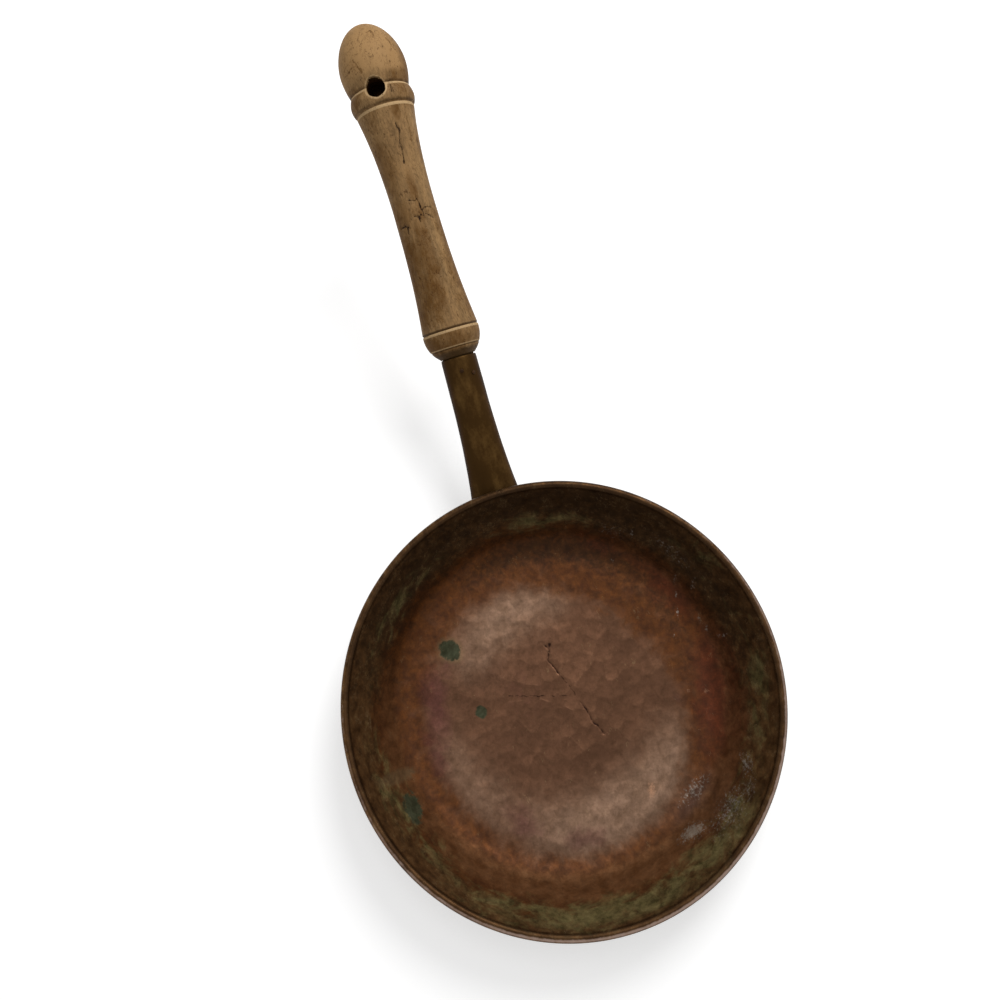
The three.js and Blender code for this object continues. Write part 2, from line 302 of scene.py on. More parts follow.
def frayed_mask(m, name, pattern, fray, start, full, cover):
    """How much of a finish lies at each place: its field on the mesh, frayed by a pattern. A
    field of 0 stays bare, whatever the pattern is there."""
    field = add_node(m, "Attribute", attribute_name=name).outputs["Fac"]
    centred = add_shares(m, -fray / 2, (pattern, fray))
    there = add_node(m, "Math", (field, 4), use_clamp=True, operation="MULTIPLY")
    frayed = add_node(m, "Math", (centred, there, field), operation="MULTIPLY_ADD")
    return add_node(m, "MapRange", {
        "Value": frayed, "From Min": start, "From Max": full, "To Max": cover},
        interpolation_type="SMOOTHSTEP")


def hair_lines(m, pattern, width, cover):
    """Thin lines where a pattern crosses the middle of its range."""
    off_middle = add_node(m, "Math", (pattern, 0.5), operation="SUBTRACT")
    from_line = add_node(m, "Math", (off_middle,), operation="ABSOLUTE")
    return add_node(m, "MapRange", {
        "Value": from_line, "From Min": width, "From Max": width * 0.2, "To Max": cover})


def dirt_in_crack(m, pattern, narrowing, edge, core):
    """The crack lets dirt in: its line is thin, and its width comes and goes with a pattern."""
    crack = add_node(m, "Attribute", attribute_name="crack").outputs["Fac"]
    width = add_shares(m, -narrowing, (pattern, 2.2))
    inside = add_node(m, "Math", (crack, width), operation="SUBTRACT")
    return add_node(m, "MapRange", {"Value": inside, "From Min": edge, "From Max": core})


def laid_over(m, tone, coats):
    """The tone under coats of mask and colour, each over those before it."""
    for mask, shade in coats:
        tone = add_node(m, "Mix", (mask, tone, shade), data_type="RGBA")
    return tone


def seen_directly(owner):
    """1 for what the camera, shiny metal and glass see, and 0 for light that falls on things."""
    path = add_node(owner, "LightPath").outputs
    seen = add_node(owner, "Math", (path["Is Camera Ray"], path["Is Glossy Ray"]),
                    operation="MAXIMUM")
    return add_node(owner, "Math", (seen, path["Is Transmission Ray"]), operation="MAXIMUM")


# --- Materials ------------------------------------------------------------------------------------

WIPED_RADIUS = 30                    # mm: further out than this the wisps are drawn out


def raised_copper(settings):
    """Copper, raised and planished with a hammer, then heated and left to age. It gives broken,
    soft highlights on a brown floor with painted highlights on it and on the rim, red-brown where
    heat has stained it with painted light in the floor's corner, and a dull olive-brown wall with
    green corrosion, with painted shade on the side away from the key lamp and on the rim's inside."""
    m = new_material("raised_copper")
    where = add_node(m, "TexCoord").outputs["Object"]
    # Wiping has drawn the wall's patina out round the pan, to about four times its width.
    flat = add_node(m, "VectorMath", (where, (1, 1, 0)), operation="MULTIPLY")
    radius = add_node(m, "VectorMath", (flat,), operation="LENGTH")
    outward = add_node(m, "VectorMath", (flat,), operation="NORMALIZE")
    lifted = add_node(m, "CombineXYZ", {"Z": radius})
    round_pan = add_node(m, "VectorMath", (
        outward, (WIPED_RADIUS * MM, WIPED_RADIUS * MM, 0), lifted), operation="MULTIPLY_ADD")
    noises = {}
    # Each pattern's coordinates, its size in mm, its detail, its roughness and its distortion.
    for name, place, size, detail, roughness, distortion in (
            ("clouds", where, 30, 4, 0.55, 0.3), ("blotches", where, 11, 6, 0.62, 0.6),
            ("mottle", where, 4, 6, 0.66, 0.4), ("smudges", where, 7, 8, 0.67, 0.25),
            ("wisps", round_pan, 5.5, 8, 0.74, 0.8), ("grit", where, 1.5, 5, 0.7, 0)):
        noises[name] = add_node(m, "TexNoise", {
            "Vector": place, "Scale": per_mm(size), "Detail": detail, "Roughness": roughness,
            "Distortion": distortion})
    # Each set of scratches: the turn of its lines, how short the pattern is across them, and its
    # size in mm. Real ones are about 0.1 mm wide, and are drawn wider to show.
    for name, turn, stretch, size in (
            ("scratches", 0.5, 0.25, 6), ("cross_scratches", -0.9, 0.3, 5),
            ("long_scratches", 1.9, 0.12, 9)):
        lengthwise = add_node(m, "Mapping", {
            "Vector": where, "Rotation": (0, 0, turn), "Scale": (stretch, 1, 0.6)})
        noises[name] = add_node(m, "TexNoise", {
            "Vector": lengthwise, "Scale": per_mm(size), "Detail": 6, "Roughness": 0.62,
            "Distortion": 0.4})

    tone = add_node(m, "ValToRGB", (noises["clouds"],), stops=[
        (0.32, np.multiply(settings.floor_colour, 0.84)),
        (0.68, np.multiply(settings.floor_colour, 1.14))])
    # Each blow left its own patch a shade lighter or darker.
    struck = add_node(m, "Attribute", attribute_name="struck").outputs["Fac"]
    patch = add_node(m, "MapRange", {"Value": struck, "To Min": 0.92, "To Max": 1.08})
    tone = add_node(m, "Mix", (1.0, tone, patch), data_type="RGBA", blend_type="MULTIPLY")
    masks, coats = {}, []
    # Each finish lies over those before it: its field on the mesh, the pattern that frays it and
    # by how much, the values where it starts and is full, its greatest cover, and two tones.
    for name, pattern, fray, start, full, cover, dark, light in (
            # Burnish: worn, smoother copper, and painted highlights on the floor.
            ("burnish_and_highlight", "blotches", 0.45, 0.0, 1.1, 0.78, "#6b5443", "#806654"),
            ("heat_stain", "blotches", 1.8, 0.1, 1.1, 0.95,
             settings.heat_dark, settings.heat_light),
            ("purple", "blotches", 1.4, 0.1, 0.8, 0.5, "#432325", "#54302f"),
            ("mauve", "blotches", 1.2, 0.1, 0.8, 0.75, "#42302a", "#58433a"),
            ("dark_red", "blotches", 1.1, 0.1, 0.8, 0.85, "#421f10", "#5b2b18"),
            # Russet: red-brown oxide, and painted light that lifts the shade of the floor's corner.
            ("russet_and_painted_light", "blotches", 1.3, 0.1, 1.0, 0.9, "#623e22", "#7f5738"),
            ("wall", "wisps", 2.2, 0.1, 0.9, 1.0, settings.wall_dark, settings.wall_light),
            # Soot, with painted shade on the side away from the key lamp.
            ("soot_and_shade", "mottle", 1.2, 0.1, 0.9, 0.68, "#1a1006", "#2c1c0d"),
            ("green_film", "wisps", 3.2, 0.25, 1.1, 0.75, "#454021", "#7c7249"),
            ("frost", "grit", 3.6, 0.4, 1.2, 0.75, "#6e645a", "#a8a096"),
            ("halo", "mottle", 0.9, 0.1, 0.6, 0.5, "#6b583e", "#7b6648"),
            ("green_spot", "mottle", 1.1, 0.1, 0.3, 1.0,
             settings.green_dark, settings.green_light)):
        masks[name] = frayed_mask(m, name, noises[pattern], fray, start, full, cover)
        coats.append((masks[name], add_node(
            m, "ValToRGB", (noises["smudges"],), stops=[(0.36, dark), (0.64, light)])))
    # Scratches are bright or dark, and another pattern breaks them up. The floor has fewer.
    for name, broken_by, width, cover, shade in (
            ("scratches", "blotches", 0.007, 0.55, "#8d7655"),
            ("cross_scratches", "smudges", 0.009, 0.55, "#857554"),
            ("long_scratches", "wisps", 0.005, 0.5, "#1f140a")):
        kept = add_shares(m, noises[broken_by], (masks["wall"], 0.09))
        whole = add_node(m, "MapRange", {"Value": kept, "From Min": 0.6, "From Max": 0.68})
        masks[name] = add_node(m, "Math", (hair_lines(m, noises[name], width, cover), whole),
                               operation="MULTIPLY")
        coats.append((masks[name], shade))
    for start, full, shade in ((0.7, 0.75, "#8f7c62"), (0.33, 0.28, "#1a0f07")):
        coats.append((add_node(m, "MapRange", {
            "Value": noises["grit"], "From Min": start, "From Max": full, "To Max": 0.4}), shade))
    # Wear, grime and painted light show where their field and a pattern add up: the rim's inner
    # side takes grime with painted shade, its outer side rubbed copper with a painted highlight,
    # and the gleams are painted highlights.
    for name, pattern, start, full, cover, shade in (
            ("ridge", "blotches", 1.0, 1.7, 0.05, "#86674f"),
            ("rim_grime_and_shade", "mottle", 0.4, 0.9, 0.7, "#2a1c10"),
            ("rubbed_and_highlight", "mottle", 0.9, 1.4, 0.85, settings.rubbed_and_highlight_colour),
            ("scuff", "grit", 0.9, 1.25, 0.5, "#a0917f"),
            ("gleam", "grit", 0.95, 1.3, 0.6, "#a67c60")):
        field = add_node(m, "Attribute", attribute_name=name).outputs["Fac"]
        added = add_node(m, "Math", (field, noises[pattern]), operation="ADD")
        coats.append((add_node(m, "MapRange", {
            "Value": added, "From Min": start, "From Max": full, "To Max": cover}), shade))
    cracked = dirt_in_crack(m, noises["mottle"], 1.0, 0.5, 0.0)
    coats.append((cracked, "#1d100b"))

    corroded = add_node(m, "Math", (masks["green_film"], masks["green_spot"]),
                        operation="MAXIMUM")
    bare = add_shares(m, 0.9, (masks["heat_stain"], -0.5), (masks["wall"], -0.1))
    satin = add_node(m, "MapRange", {
        "Value": noises["mottle"], "From Min": 0.3, "From Max": 0.7,
        "To Min": 0.33, "To Max": 0.46})
    height = add_shares(m, noises["grit"], (masks["green_spot"], 0.9),
                        (masks["scratches"], -0.8), (cracked, -0.3))
    return finish_material(m, height, 0.5, 0.12, {
        "Base Color": laid_over(m, tone, coats),
        "Metallic": add_node(m, "Mix", (corroded, bare, 0.1), data_type="FLOAT"),
        "Roughness": add_shares(m, satin, (masks["burnish_and_highlight"], -0.06),
                                (masks["heat_stain"], 0.12), (corroded, 0.4)),
        "Specular IOR Level": 0.12})


def patinated_brass(name, matrix, dark, light, grain):
    """Sheet brass, bent round a stake and left to darken. It gives an olive-brown satin surface,
    with a painted highlight along the top where hands also rub it lighter, and faint marks along
    its length."""
    m = new_material(name)
    where = places_along(m, matrix)
    stretched = add_node(m, "Mapping", {"Vector": where, "Scale": (0.4, 1, 1)})
    clouds = add_node(m, "TexNoise", {
        "Vector": stretched, "Scale": per_mm(10), "Detail": 6, "Roughness": 0.58})
    specks = add_node(m, "TexNoise", {
        "Vector": where, "Scale": per_mm(grain), "Detail": 5, "Roughness": 0.7})
    blend = add_shares(m, clouds, (specks, 0.3))
    # A band along the top is painted lighter, as a highlight where the hand also rubs.
    handled_and_highlight = add_node(m, "Attribute", attribute_name="handled_and_highlight").outputs["Fac"]
    tone = add_node(m, "ValToRGB", (add_shares(m, blend, (handled_and_highlight, 0.13)),), stops=[
        (0.35, np.multiply(dark, 0.75)), (0.68, dark), (1.0, light)])
    satin = add_node(m, "MapRange", {
        "Value": specks, "From Min": 0.3, "From Max": 0.7, "To Min": 0.34, "To Max": 0.46})
    return finish_material(m, blend, 0.4, 0.15, {
        "Base Color": tone, "Metallic": 0.35, "Roughness": satin, "Specular IOR Level": 0.06,
        "Specular Tint": "#8a7048"})


def forged_iron(settings):
    """Iron, forged and blackened with age. It gives a near-black, rough metal with brown rust."""
    m = new_material("forged_iron")
    rust = add_node(m, "TexNoise", {
        "Vector": add_node(m, "TexCoord").outputs["Object"], "Scale": per_mm(1.5), "Detail": 5,
        "Roughness": 0.65})
    tone = add_node(m, "ValToRGB", (rust,), stops=[(0.4, settings.iron_colour), (0.7, "#4b301a")])
    return finish_material(m, rust, 0.5, 0.1, {
        "Base Color": tone, "Metallic": 0.8, "Roughness": 0.6, "Specular IOR Level": 0.1})


def turned_beech(settings, matrix):
    """Beech, turned on a lathe, worn bare by hands and stained. It gives a warm tan with short
    flecks of grain, brown stains and specks, pale wood on rubbed edges with a painted highlight
    on the hole's edge, and grime with painted shade in the turned lines and against the socket."""
    m = new_material("turned_beech")
    where = places_along(m, matrix)
    noises = {}
    # Each pattern's size in mm across the handle, its stretch along it, detail and roughness.
    # Real flecks are about 0.5 mm wide, and are drawn 1 mm wide to show.
    for name, size, stretch, detail, roughness in (
            ("flecks", 1.1, 0.3, 5, 0.7), ("streaks", 5, 0.12, 5, 0.6),
            ("clouds", 15, 0.8, 7, 0.68), ("mottle", 4, 0.6, 8, 0.75),
            ("specks", 1.6, 0.5, 6, 0.7), ("pores", 0.9, 0.6, 3, 0.6),
            ("veins", 11, 0.6, 8, 0.66)):
        lengthwise = add_node(m, "Mapping", {"Vector": where, "Scale": (stretch, 1, 1)})
        noises[name] = add_node(m, "TexNoise", {
            "Vector": lengthwise, "Scale": per_mm(size), "Detail": detail,
            "Roughness": roughness})
    # Growth rings about 3 mm apart, round a pith that lies outside the handle.
    off_pith = add_node(m, "VectorMath", (where, (0, 0.021, 0.016)), operation="ADD")
    rings = add_node(m, "TexWave", {
        "Vector": off_pith, "Scale": per_mm(3) / 20, "Distortion": 1.4, "Detail": 2,
        "Detail Scale": 0.6}, wave_type="RINGS", rings_direction="X")

    tone = add_node(m, "ValToRGB", (noises["streaks"],), stops=[
        (0.35, np.multiply(settings.wood_colour, 0.8)), (0.5, settings.wood_colour),
        (0.68, np.multiply(settings.wood_colour, 1.18))])
    tone = add_node(m, "Mix", (0.12, tone, rings.outputs["Color"]), data_type="RGBA",
                    blend_type="SOFT_LIGHT")
    fleck = add_node(m, "MapRange", {
        "Value": noises["flecks"], "From Min": 0.3, "From Max": 0.7, "To Min": 0.62,
        "To Max": 1.2})
    tone = add_node(m, "Mix", (1.0, tone, fleck), data_type="RGBA", blend_type="MULTIPLY")
    coats = []
    # Each finish lies over those before it: its field on the mesh, the pattern that frays it and
    # by how much, the values where it starts and is full, its greatest cover, and its colour.
    for name, pattern, fray, start, full, cover, shade in (
            ("stain", "clouds", 2.2, 0.12, 0.7, 0.5, settings.stain_colour),
            ("stain", "mottle", 3.4, 0.4, 1.0, 0.7, settings.stain_colour),
            # Grime in the turned lines and against the socket, with painted shade.
            ("grime_and_shade", "mottle", 1.2, 0.2, 0.9, 0.8, "#38260f"),
            ("worn", "clouds", 1.4, 0.1, 1.0, 0.8, np.multiply(settings.wood_colour, 1.42)),
            # Pale wood on rubbed edges, with a painted highlight on the hole's edge.
            ("pale_and_highlight", "mottle", 0.5, 0.2, 0.7, 0.95, settings.pale_colour)):
        coats.append((frayed_mask(m, name, noises[pattern], fray, start, full, cover), shade))
    pores = add_node(m, "MapRange", {
        "Value": noises["pores"], "From Min": 0.6, "From Max": 0.68, "To Max": 0.5})
    specks = add_node(m, "MapRange", {
        "Value": noises["specks"], "From Min": 0.6, "From Max": 0.64, "To Max": 0.7})
    scrape = add_node(m, "Attribute", attribute_name="scrape").outputs["Fac"]
    scraped = add_node(m, "MapRange", {
        "Value": add_shares(m, scrape, (noises["specks"], -2.5)), "From Min": -0.6,
        "From Max": -1.2, "To Max": 0.75})
    cracked = dirt_in_crack(m, noises["specks"], 0.8, 0.25, -0.15)
    coats += [(pores, "#4c2f12"), (specks, "#40230b"),
              (hair_lines(m, noises["veins"], 0.01, 0.4), "#3a2410"), (scraped, "#5e3f1c"),
              (cracked, "#24130a")]
    rough = add_node(m, "MapRange", {"Value": noises["mottle"], "To Min": 0.5, "To Max": 0.75})
    height = add_shares(m, noises["flecks"], (specks, -1.2), (cracked, -3))
    return finish_material(m, height, 0.6, 0.18, {
        "Base Color": laid_over(m, tone, coats), "Roughness": rough, "IOR": 1.5,
        "Specular IOR Level": 0.1})


def dirty_shaded_end_grain():
    """Beech end grain inside a bored hole, black with old dirt and painted shade. It gives a dark,
    quite matt lining, so that the hole looks deep."""
    m = new_material("dirty_shaded_end_grain")
    dirt = add_node(m, "TexNoise", {
        "Vector": add_node(m, "TexCoord").outputs["Object"], "Scale": per_mm(2), "Detail": 5,
        "Roughness": 0.6})
    tone = add_node(m, "ValToRGB", (dirt,), stops=[(0.35, "#2a1a0c"), (0.7, "#4c3319")])
    return finish_material(m, dirt, 0.6, 0.3, {
        "Base Color": tone, "Roughness": 0.95, "IOR": 1.5, "Specular IOR Level": 0.0})


# --- Pan ------------------------------------------------------------------------------------------

RIM_RADIUS = 130
PAN_HEIGHT = 51
WIRE_RADIUS = 1
CURL_END = math.radians(283)         # how far the rim's edge is rolled round the wire
PAN_SIDES = 360
PAN_SEED = 7
FINE_REACH = 42                      # out to where the floor's points lie close, for the crack
FINE_STEP, FLOOR_STEP, UNDER_STEP = 0.62, 1.15, 2.6

# Hammer marks, in widths of one mark: the first ring's radius, the space between rings, how far a
# mark may stray round its ring and out from it, its hollow's radius and the ridges' width.
FIRST_RING, RING_SPACE = 0.8, 0.82
STRAY_ROUND, STRAY_OUT = 0.26, 0.28
HOLLOW_RADIUS, RIDGE_WIDTH = 0.66, 0.14
SOFTEST_BLOW, HARDEST_BLOW = 0.5, 1.15

CRACK_DEPTH, CRACK_WIDTH, CRACK_WANDER = 0.3, 0.5, 0.7
HAIRLINE_WIDTH = 0.3                 # by which a hairline is thinner than a crack


class PanSection:
    """The pan's section: radius and height of each place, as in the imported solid."""

    def __init__(self, settings):
        self.sheet = settings.sheet / MM
        self.corner_radius = settings.corner / MM
        self.flare = settings.flare
        self.wall_side = math.pi - self.flare
        self.bore = WIRE_RADIUS + GAP
        self.bead_radius = self.bore + self.sheet
        self.bead = np.array((RIM_RADIUS - self.bead_radius, PAN_HEIGHT - self.bead_radius))
        self.outer_corner = self.corner_radius + self.sheet
        apart = (self.bead_radius + self.corner_radius
                 + math.sin(self.flare) * (self.bead[1] - self.outer_corner))
        self.corner = np.array((self.bead[0] - apart / math.cos(self.flare), self.outer_corner))
        self.up_wall = np.array((math.sin(self.flare), math.cos(self.flare)))
        self.out_of_wall = np.array((math.cos(self.flare), -math.sin(self.flare)))
        self.into_bowl = np.array((math.cos(self.wall_side), math.sin(self.wall_side)))

    def inner_path(self):
        """From near the middle of the floor to where the rim begins."""
        floor = np.r_[np.arange(0.5, FINE_REACH, FINE_STEP),
                      np.arange(FINE_REACH, self.corner[0], FLOOR_STEP)]
        rounded = arc(self.corner, self.corner_radius, -math.pi / 2, -self.flare, 20)
        wall = np.linspace(rounded[-1], self.bead + self.bead_radius * self.into_bowl, 24)
        return np.r_[np.c_[floor, np.full(len(floor), self.sheet)], rounded, wall[1:-1]]

    def rim_path(self):
        """Over the rim's crest, down its outside and round the wire to the rolled edge."""
        return arc(self.bead, self.bead_radius, self.wall_side, self.wall_side - CURL_END, 26)

    def curl_path(self):
        """From the rolled edge back round the inside of the curl to the wall's outer face."""
        return arc(self.bead, self.bore, self.wall_side - CURL_END, self.wall_side, 12)

    def outer_path(self):
        """Down the outside of the wall to near the middle of the underside."""
        rounded = arc(self.corner, self.outer_corner, -self.flare, -math.pi / 2, 14)
        wall = np.linspace(self.bead + self.bore * self.into_bowl, rounded[0], 18)
        floor = np.arange(self.corner[0] - UNDER_STEP, 0.5, -UNDER_STEP)
        return np.r_[wall[1:-1], rounded, np.c_[floor, np.zeros(len(floor))]]

    def room_outside(self, place):
        """How far a place beside the wall is from the pan's outer face."""
        offset = np.array((math.hypot(place.x, place.y), place.z)) - self.corner
        if offset @ self.up_wall > 0:
            return offset @ self.out_of_wall - self.outer_corner
        return np.linalg.norm(offset) - self.outer_corner


def hammer_centres(path, mark, rng):
    """Middles of the planishing marks, in rings that follow the inside of the pan."""
    steps = np.linalg.norm(np.diff(path, axis=0), axis=1)
    reach = np.r_[0, np.cumsum(steps)]
    centres = [(0, 0, path[0, 1])]
    distance = mark * FIRST_RING
    while distance < reach[-1]:
        count = max(5, round(2 * math.pi * np.interp(distance, reach, path[:, 0]) / mark))
        start = rng.uniform(0, 2 * math.pi)
        for index in range(count):
            stray = rng.uniform(-STRAY_ROUND, STRAY_ROUND)
            turn = start + 2 * math.pi * (index + stray) / count
            place = distance + rng.uniform(-STRAY_OUT, STRAY_OUT) * mark
            radius = np.interp(place, reach, path[:, 0])
            height = np.interp(place, reach, path[:, 1])
            centres.append((radius * math.cos(turn), radius * math.sin(turn), height))
        distance += mark * RING_SPACE
    return centres


def hammer_marks(points, centres, mark, rng):
    """How deep each point lies in its mark, how near it is to the ridge beside the next, and how
    hard its mark was struck."""
    tree = kdtree.KDTree(len(centres))
    for index, centre in enumerate(centres):
        tree.insert(centre, index)
    tree.balance()
    force = [rng.uniform(SOFTEST_BLOW, HARDEST_BLOW) for _ in centres]
    depths, ridges, blows = (np.empty(len(points)) for _ in range(3))
    for row, point in enumerate(points):
        (_, index, near), (_, _, far) = tree.find_n(point, 2)
        depths[row] = force[index] * max(0, 1 - (near / (mark * HOLLOW_RADIUS)) ** 2)
        ridges[row] = max(0, 1 - (far - near) / (mark * RIDGE_WIDTH))
        blows[row] = (force[index] - SOFTEST_BLOW) / (HARDEST_BLOW - SOFTEST_BLOW)
    return depths, ridges, blows


# Marks on the pan's inside as (x, y) in mm, half their length and width, the turn of their length
# in degrees, and their strength.
MARKS = {
    "mauve": [(-84, -60, 36, 17, -58, 0.9), (-20, -72, 20, 9, 10, 0.35)],
    "green_spot": [(50, 57, 9, 7.6, 50, 1), (7.5, 49.5, 5, 4.4, 0, 1), (-33, 104, 13, 6, 8, 0.65)],
    "halo": [(50, 57, 13, 11, 50, 1), (7.5, 49.5, 7, 6, 0, 0.5), (-13.6, 108.5, 14, 6, 95, 1)],
    "purple": [(20, 76, 40, 14, -10, 1), (-8, 84, 30, 10, 4, 0.8), (40, 62, 14, 8, 0, 0.6),
               (-62, 44, 26, 13, 40, 0.7), (-82, 12, 24, 12, 80, 0.7), (10, 20, 26, 20, 0, 0.35)],
    "dark_red": [(-28, -98, 70, 27, -16, 1.2), (44, -90, 48, 18, 26, 0.8),
                 (84, -56, 30, 13, 56, 0.6)],
    "scuff": [(-76, -60, 16, 6, -62, 0.4), (-96, -49, 14, 4.5, -72, 1.0),
              (-88, -72, 26, 12, -51, 0.35)],
    "frost": [(47, -95, 4, 1.5, -13, 1.0), (27.5, -90.5, 5, 1.5, -13, 1.1),
              (14, -83, 2, 1.5, 0, 1.1), (19, -101, 4, 1.5, -8, 0.95),
              (12, -103, 5, 1.5, -8, 0.95), (4, -109, 4, 2, 60, 0.95), (40, -103, 5, 2, -20, 0.9),
              (82, -77, 3, 1.5, -45, 1.0), (73, -62, 2, 1.5, 0, 1.0), (38, -93, 4, 1.4, -13, 1.0),
              (-70, -91, 11, 4.5, -20, 0.85), (-83, -85, 12, 4, -42, 0.75),
              (-76, -60, 20, 7, -62, 0.8), (-96, -49, 15, 5.5, -72, 1.1),
              (-90, -72, 28, 9, -51, 0.8), (62, -96, 30, 7, 33, 0.4), (88, -66, 22, 7, 53, 0.4)],
    # The gleams are painted highlights.
    "gleam": [(-68, -36, 13, 6, -15, 0.8), (-66, -18, 12, 9, 0, 0.4), (66, 22, 14, 5, 120, 0.35),
              (-20, -79, 6, 4, 20, 0.6), (-24, -89, 6, 5, 60, 0.65), (-34, -100, 5, 3, 0, 0.6),
              (-44, -77, 5, 3, 0, 0.55), (-33, -77, 5, 2.5, 40, 0.5), (52, 15, 9, 3, 30, 0.5)],
}
# Bands round the pan: the angle of their middle, half their spread in degrees, the radius of
# their middle, half their width in mm, and their strength.
BANDS = {
    # The burnish bands are worn, smoother copper, and painted highlights on the floor.
    "burnish_and_highlight": [(18, 52, 62, 18, 0.9), (-168, 62, 76, 20, 1.2), (120, 44, 76, 18, 0.6)],
    # The russet bands are red-brown oxide, and painted light that lifts the shade of the floor's
    # corner.
    "russet_and_painted_light": [(170, 90, 107, 7, 1.2), (-122, 40, 108, 6, 0.7), (95, 44, 107, 6, 0.75),
               (-100, 40, 106, 5, 0.55), (-60, 30, 107, 5, 0.5)],
    "green_film": [
        (172, 50, 119, 7, 1), (-148, 28, 119, 8, 0.9), (-108, 30, 119, 7, 0.65),
        (-12, 26, 112, 4, 0.7), (105, 34, 113, 7, 0.7), (-70, 24, 120, 6, 0.4),
        (45, 34, 115, 6, 0.4)],
    # The soot bands are partly soot and partly painted shade, on the wall away from the key lamp
    # and on the floor's edge below it.
    "soot_and_shade": [(-18, 62, 121, 10, 1), (-60, 60, 116, 12, 0.8), (34, 50, 117, 12, 0.9),
             (-18, 54, 96, 11, 0.8), (-60, 40, 89, 9, 0.4)],
}
# Round the pan, in degrees: where the worn floor ends and where the wall's patina begins, in mm.
# Both lie further in near -18 degrees and further out near 162 degrees. In part this follows the
# patina, and in part it paints shade on the wall away from the key lamp and light on the wall
# facing it.
ZONE_TURNS = (-108, -63, -18, 27, 72, 117, 162, 207)
FLOOR_EDGES = (78, 66, 69, 82, 84, 88, 93, 92)
WALL_EDGES = (111, 109, 108.5, 109.5, 113, 115.5, 117.5, 115.5)
CRACKS = [
    [(34.5, -2.2), (31, -3.6), (25.1, -1.0), (20, -2.8), (14.5, -5)],
    [(34.8, -5.6), (31, -3.6)],
    [(-6, -12.2), (-11.7, -14.4), (-19.7, -15.6), (-24, -18.2), (-28.5, -19.6)],
]
HAIRLINES = [
    [(14.5, -5), (7, -8.3), (1, -10.4), (-6, -12.2)],
    [(12, 30), (8, 19), (5, 9), (0.5, -5)],
]
RIM_HIGHLIGHT_SIDE = -165                   # where the rim's painted highlight over rubbed copper is strongest, away from the handle


def patch_field(points, patches):
    """The strongest patch at each point: its strength in its middle, 0 at its edge."""
    field = np.zeros(len(points))
    for x, y, half_length, half_width, turn, strength in patches:
        c, s = math.cos(math.radians(turn)), math.sin(math.radians(turn))
        along = (points[:, 0] - x) * c + (points[:, 1] - y) * s
        across = (points[:, 1] - y) * c - (points[:, 0] - x) * s
        shape = 1 - np.hypot(along / half_length, across / half_width)
        field = np.maximum(field, strength * shape)
    return field


def band_field(radius, angle, bands):
    """The strongest band at each point: its strength in its middle, fading to its edge."""
    field = np.zeros(len(radius))
    for middle, spread, ring, half_width, strength in bands:
        turned = np.abs(around_from(middle, angle)) / spread
        shape = np.clip(1 - turned ** 2, 0, 1) * bell(radius, ring, half_width)
        field = np.maximum(field, strength * shape)
    return field


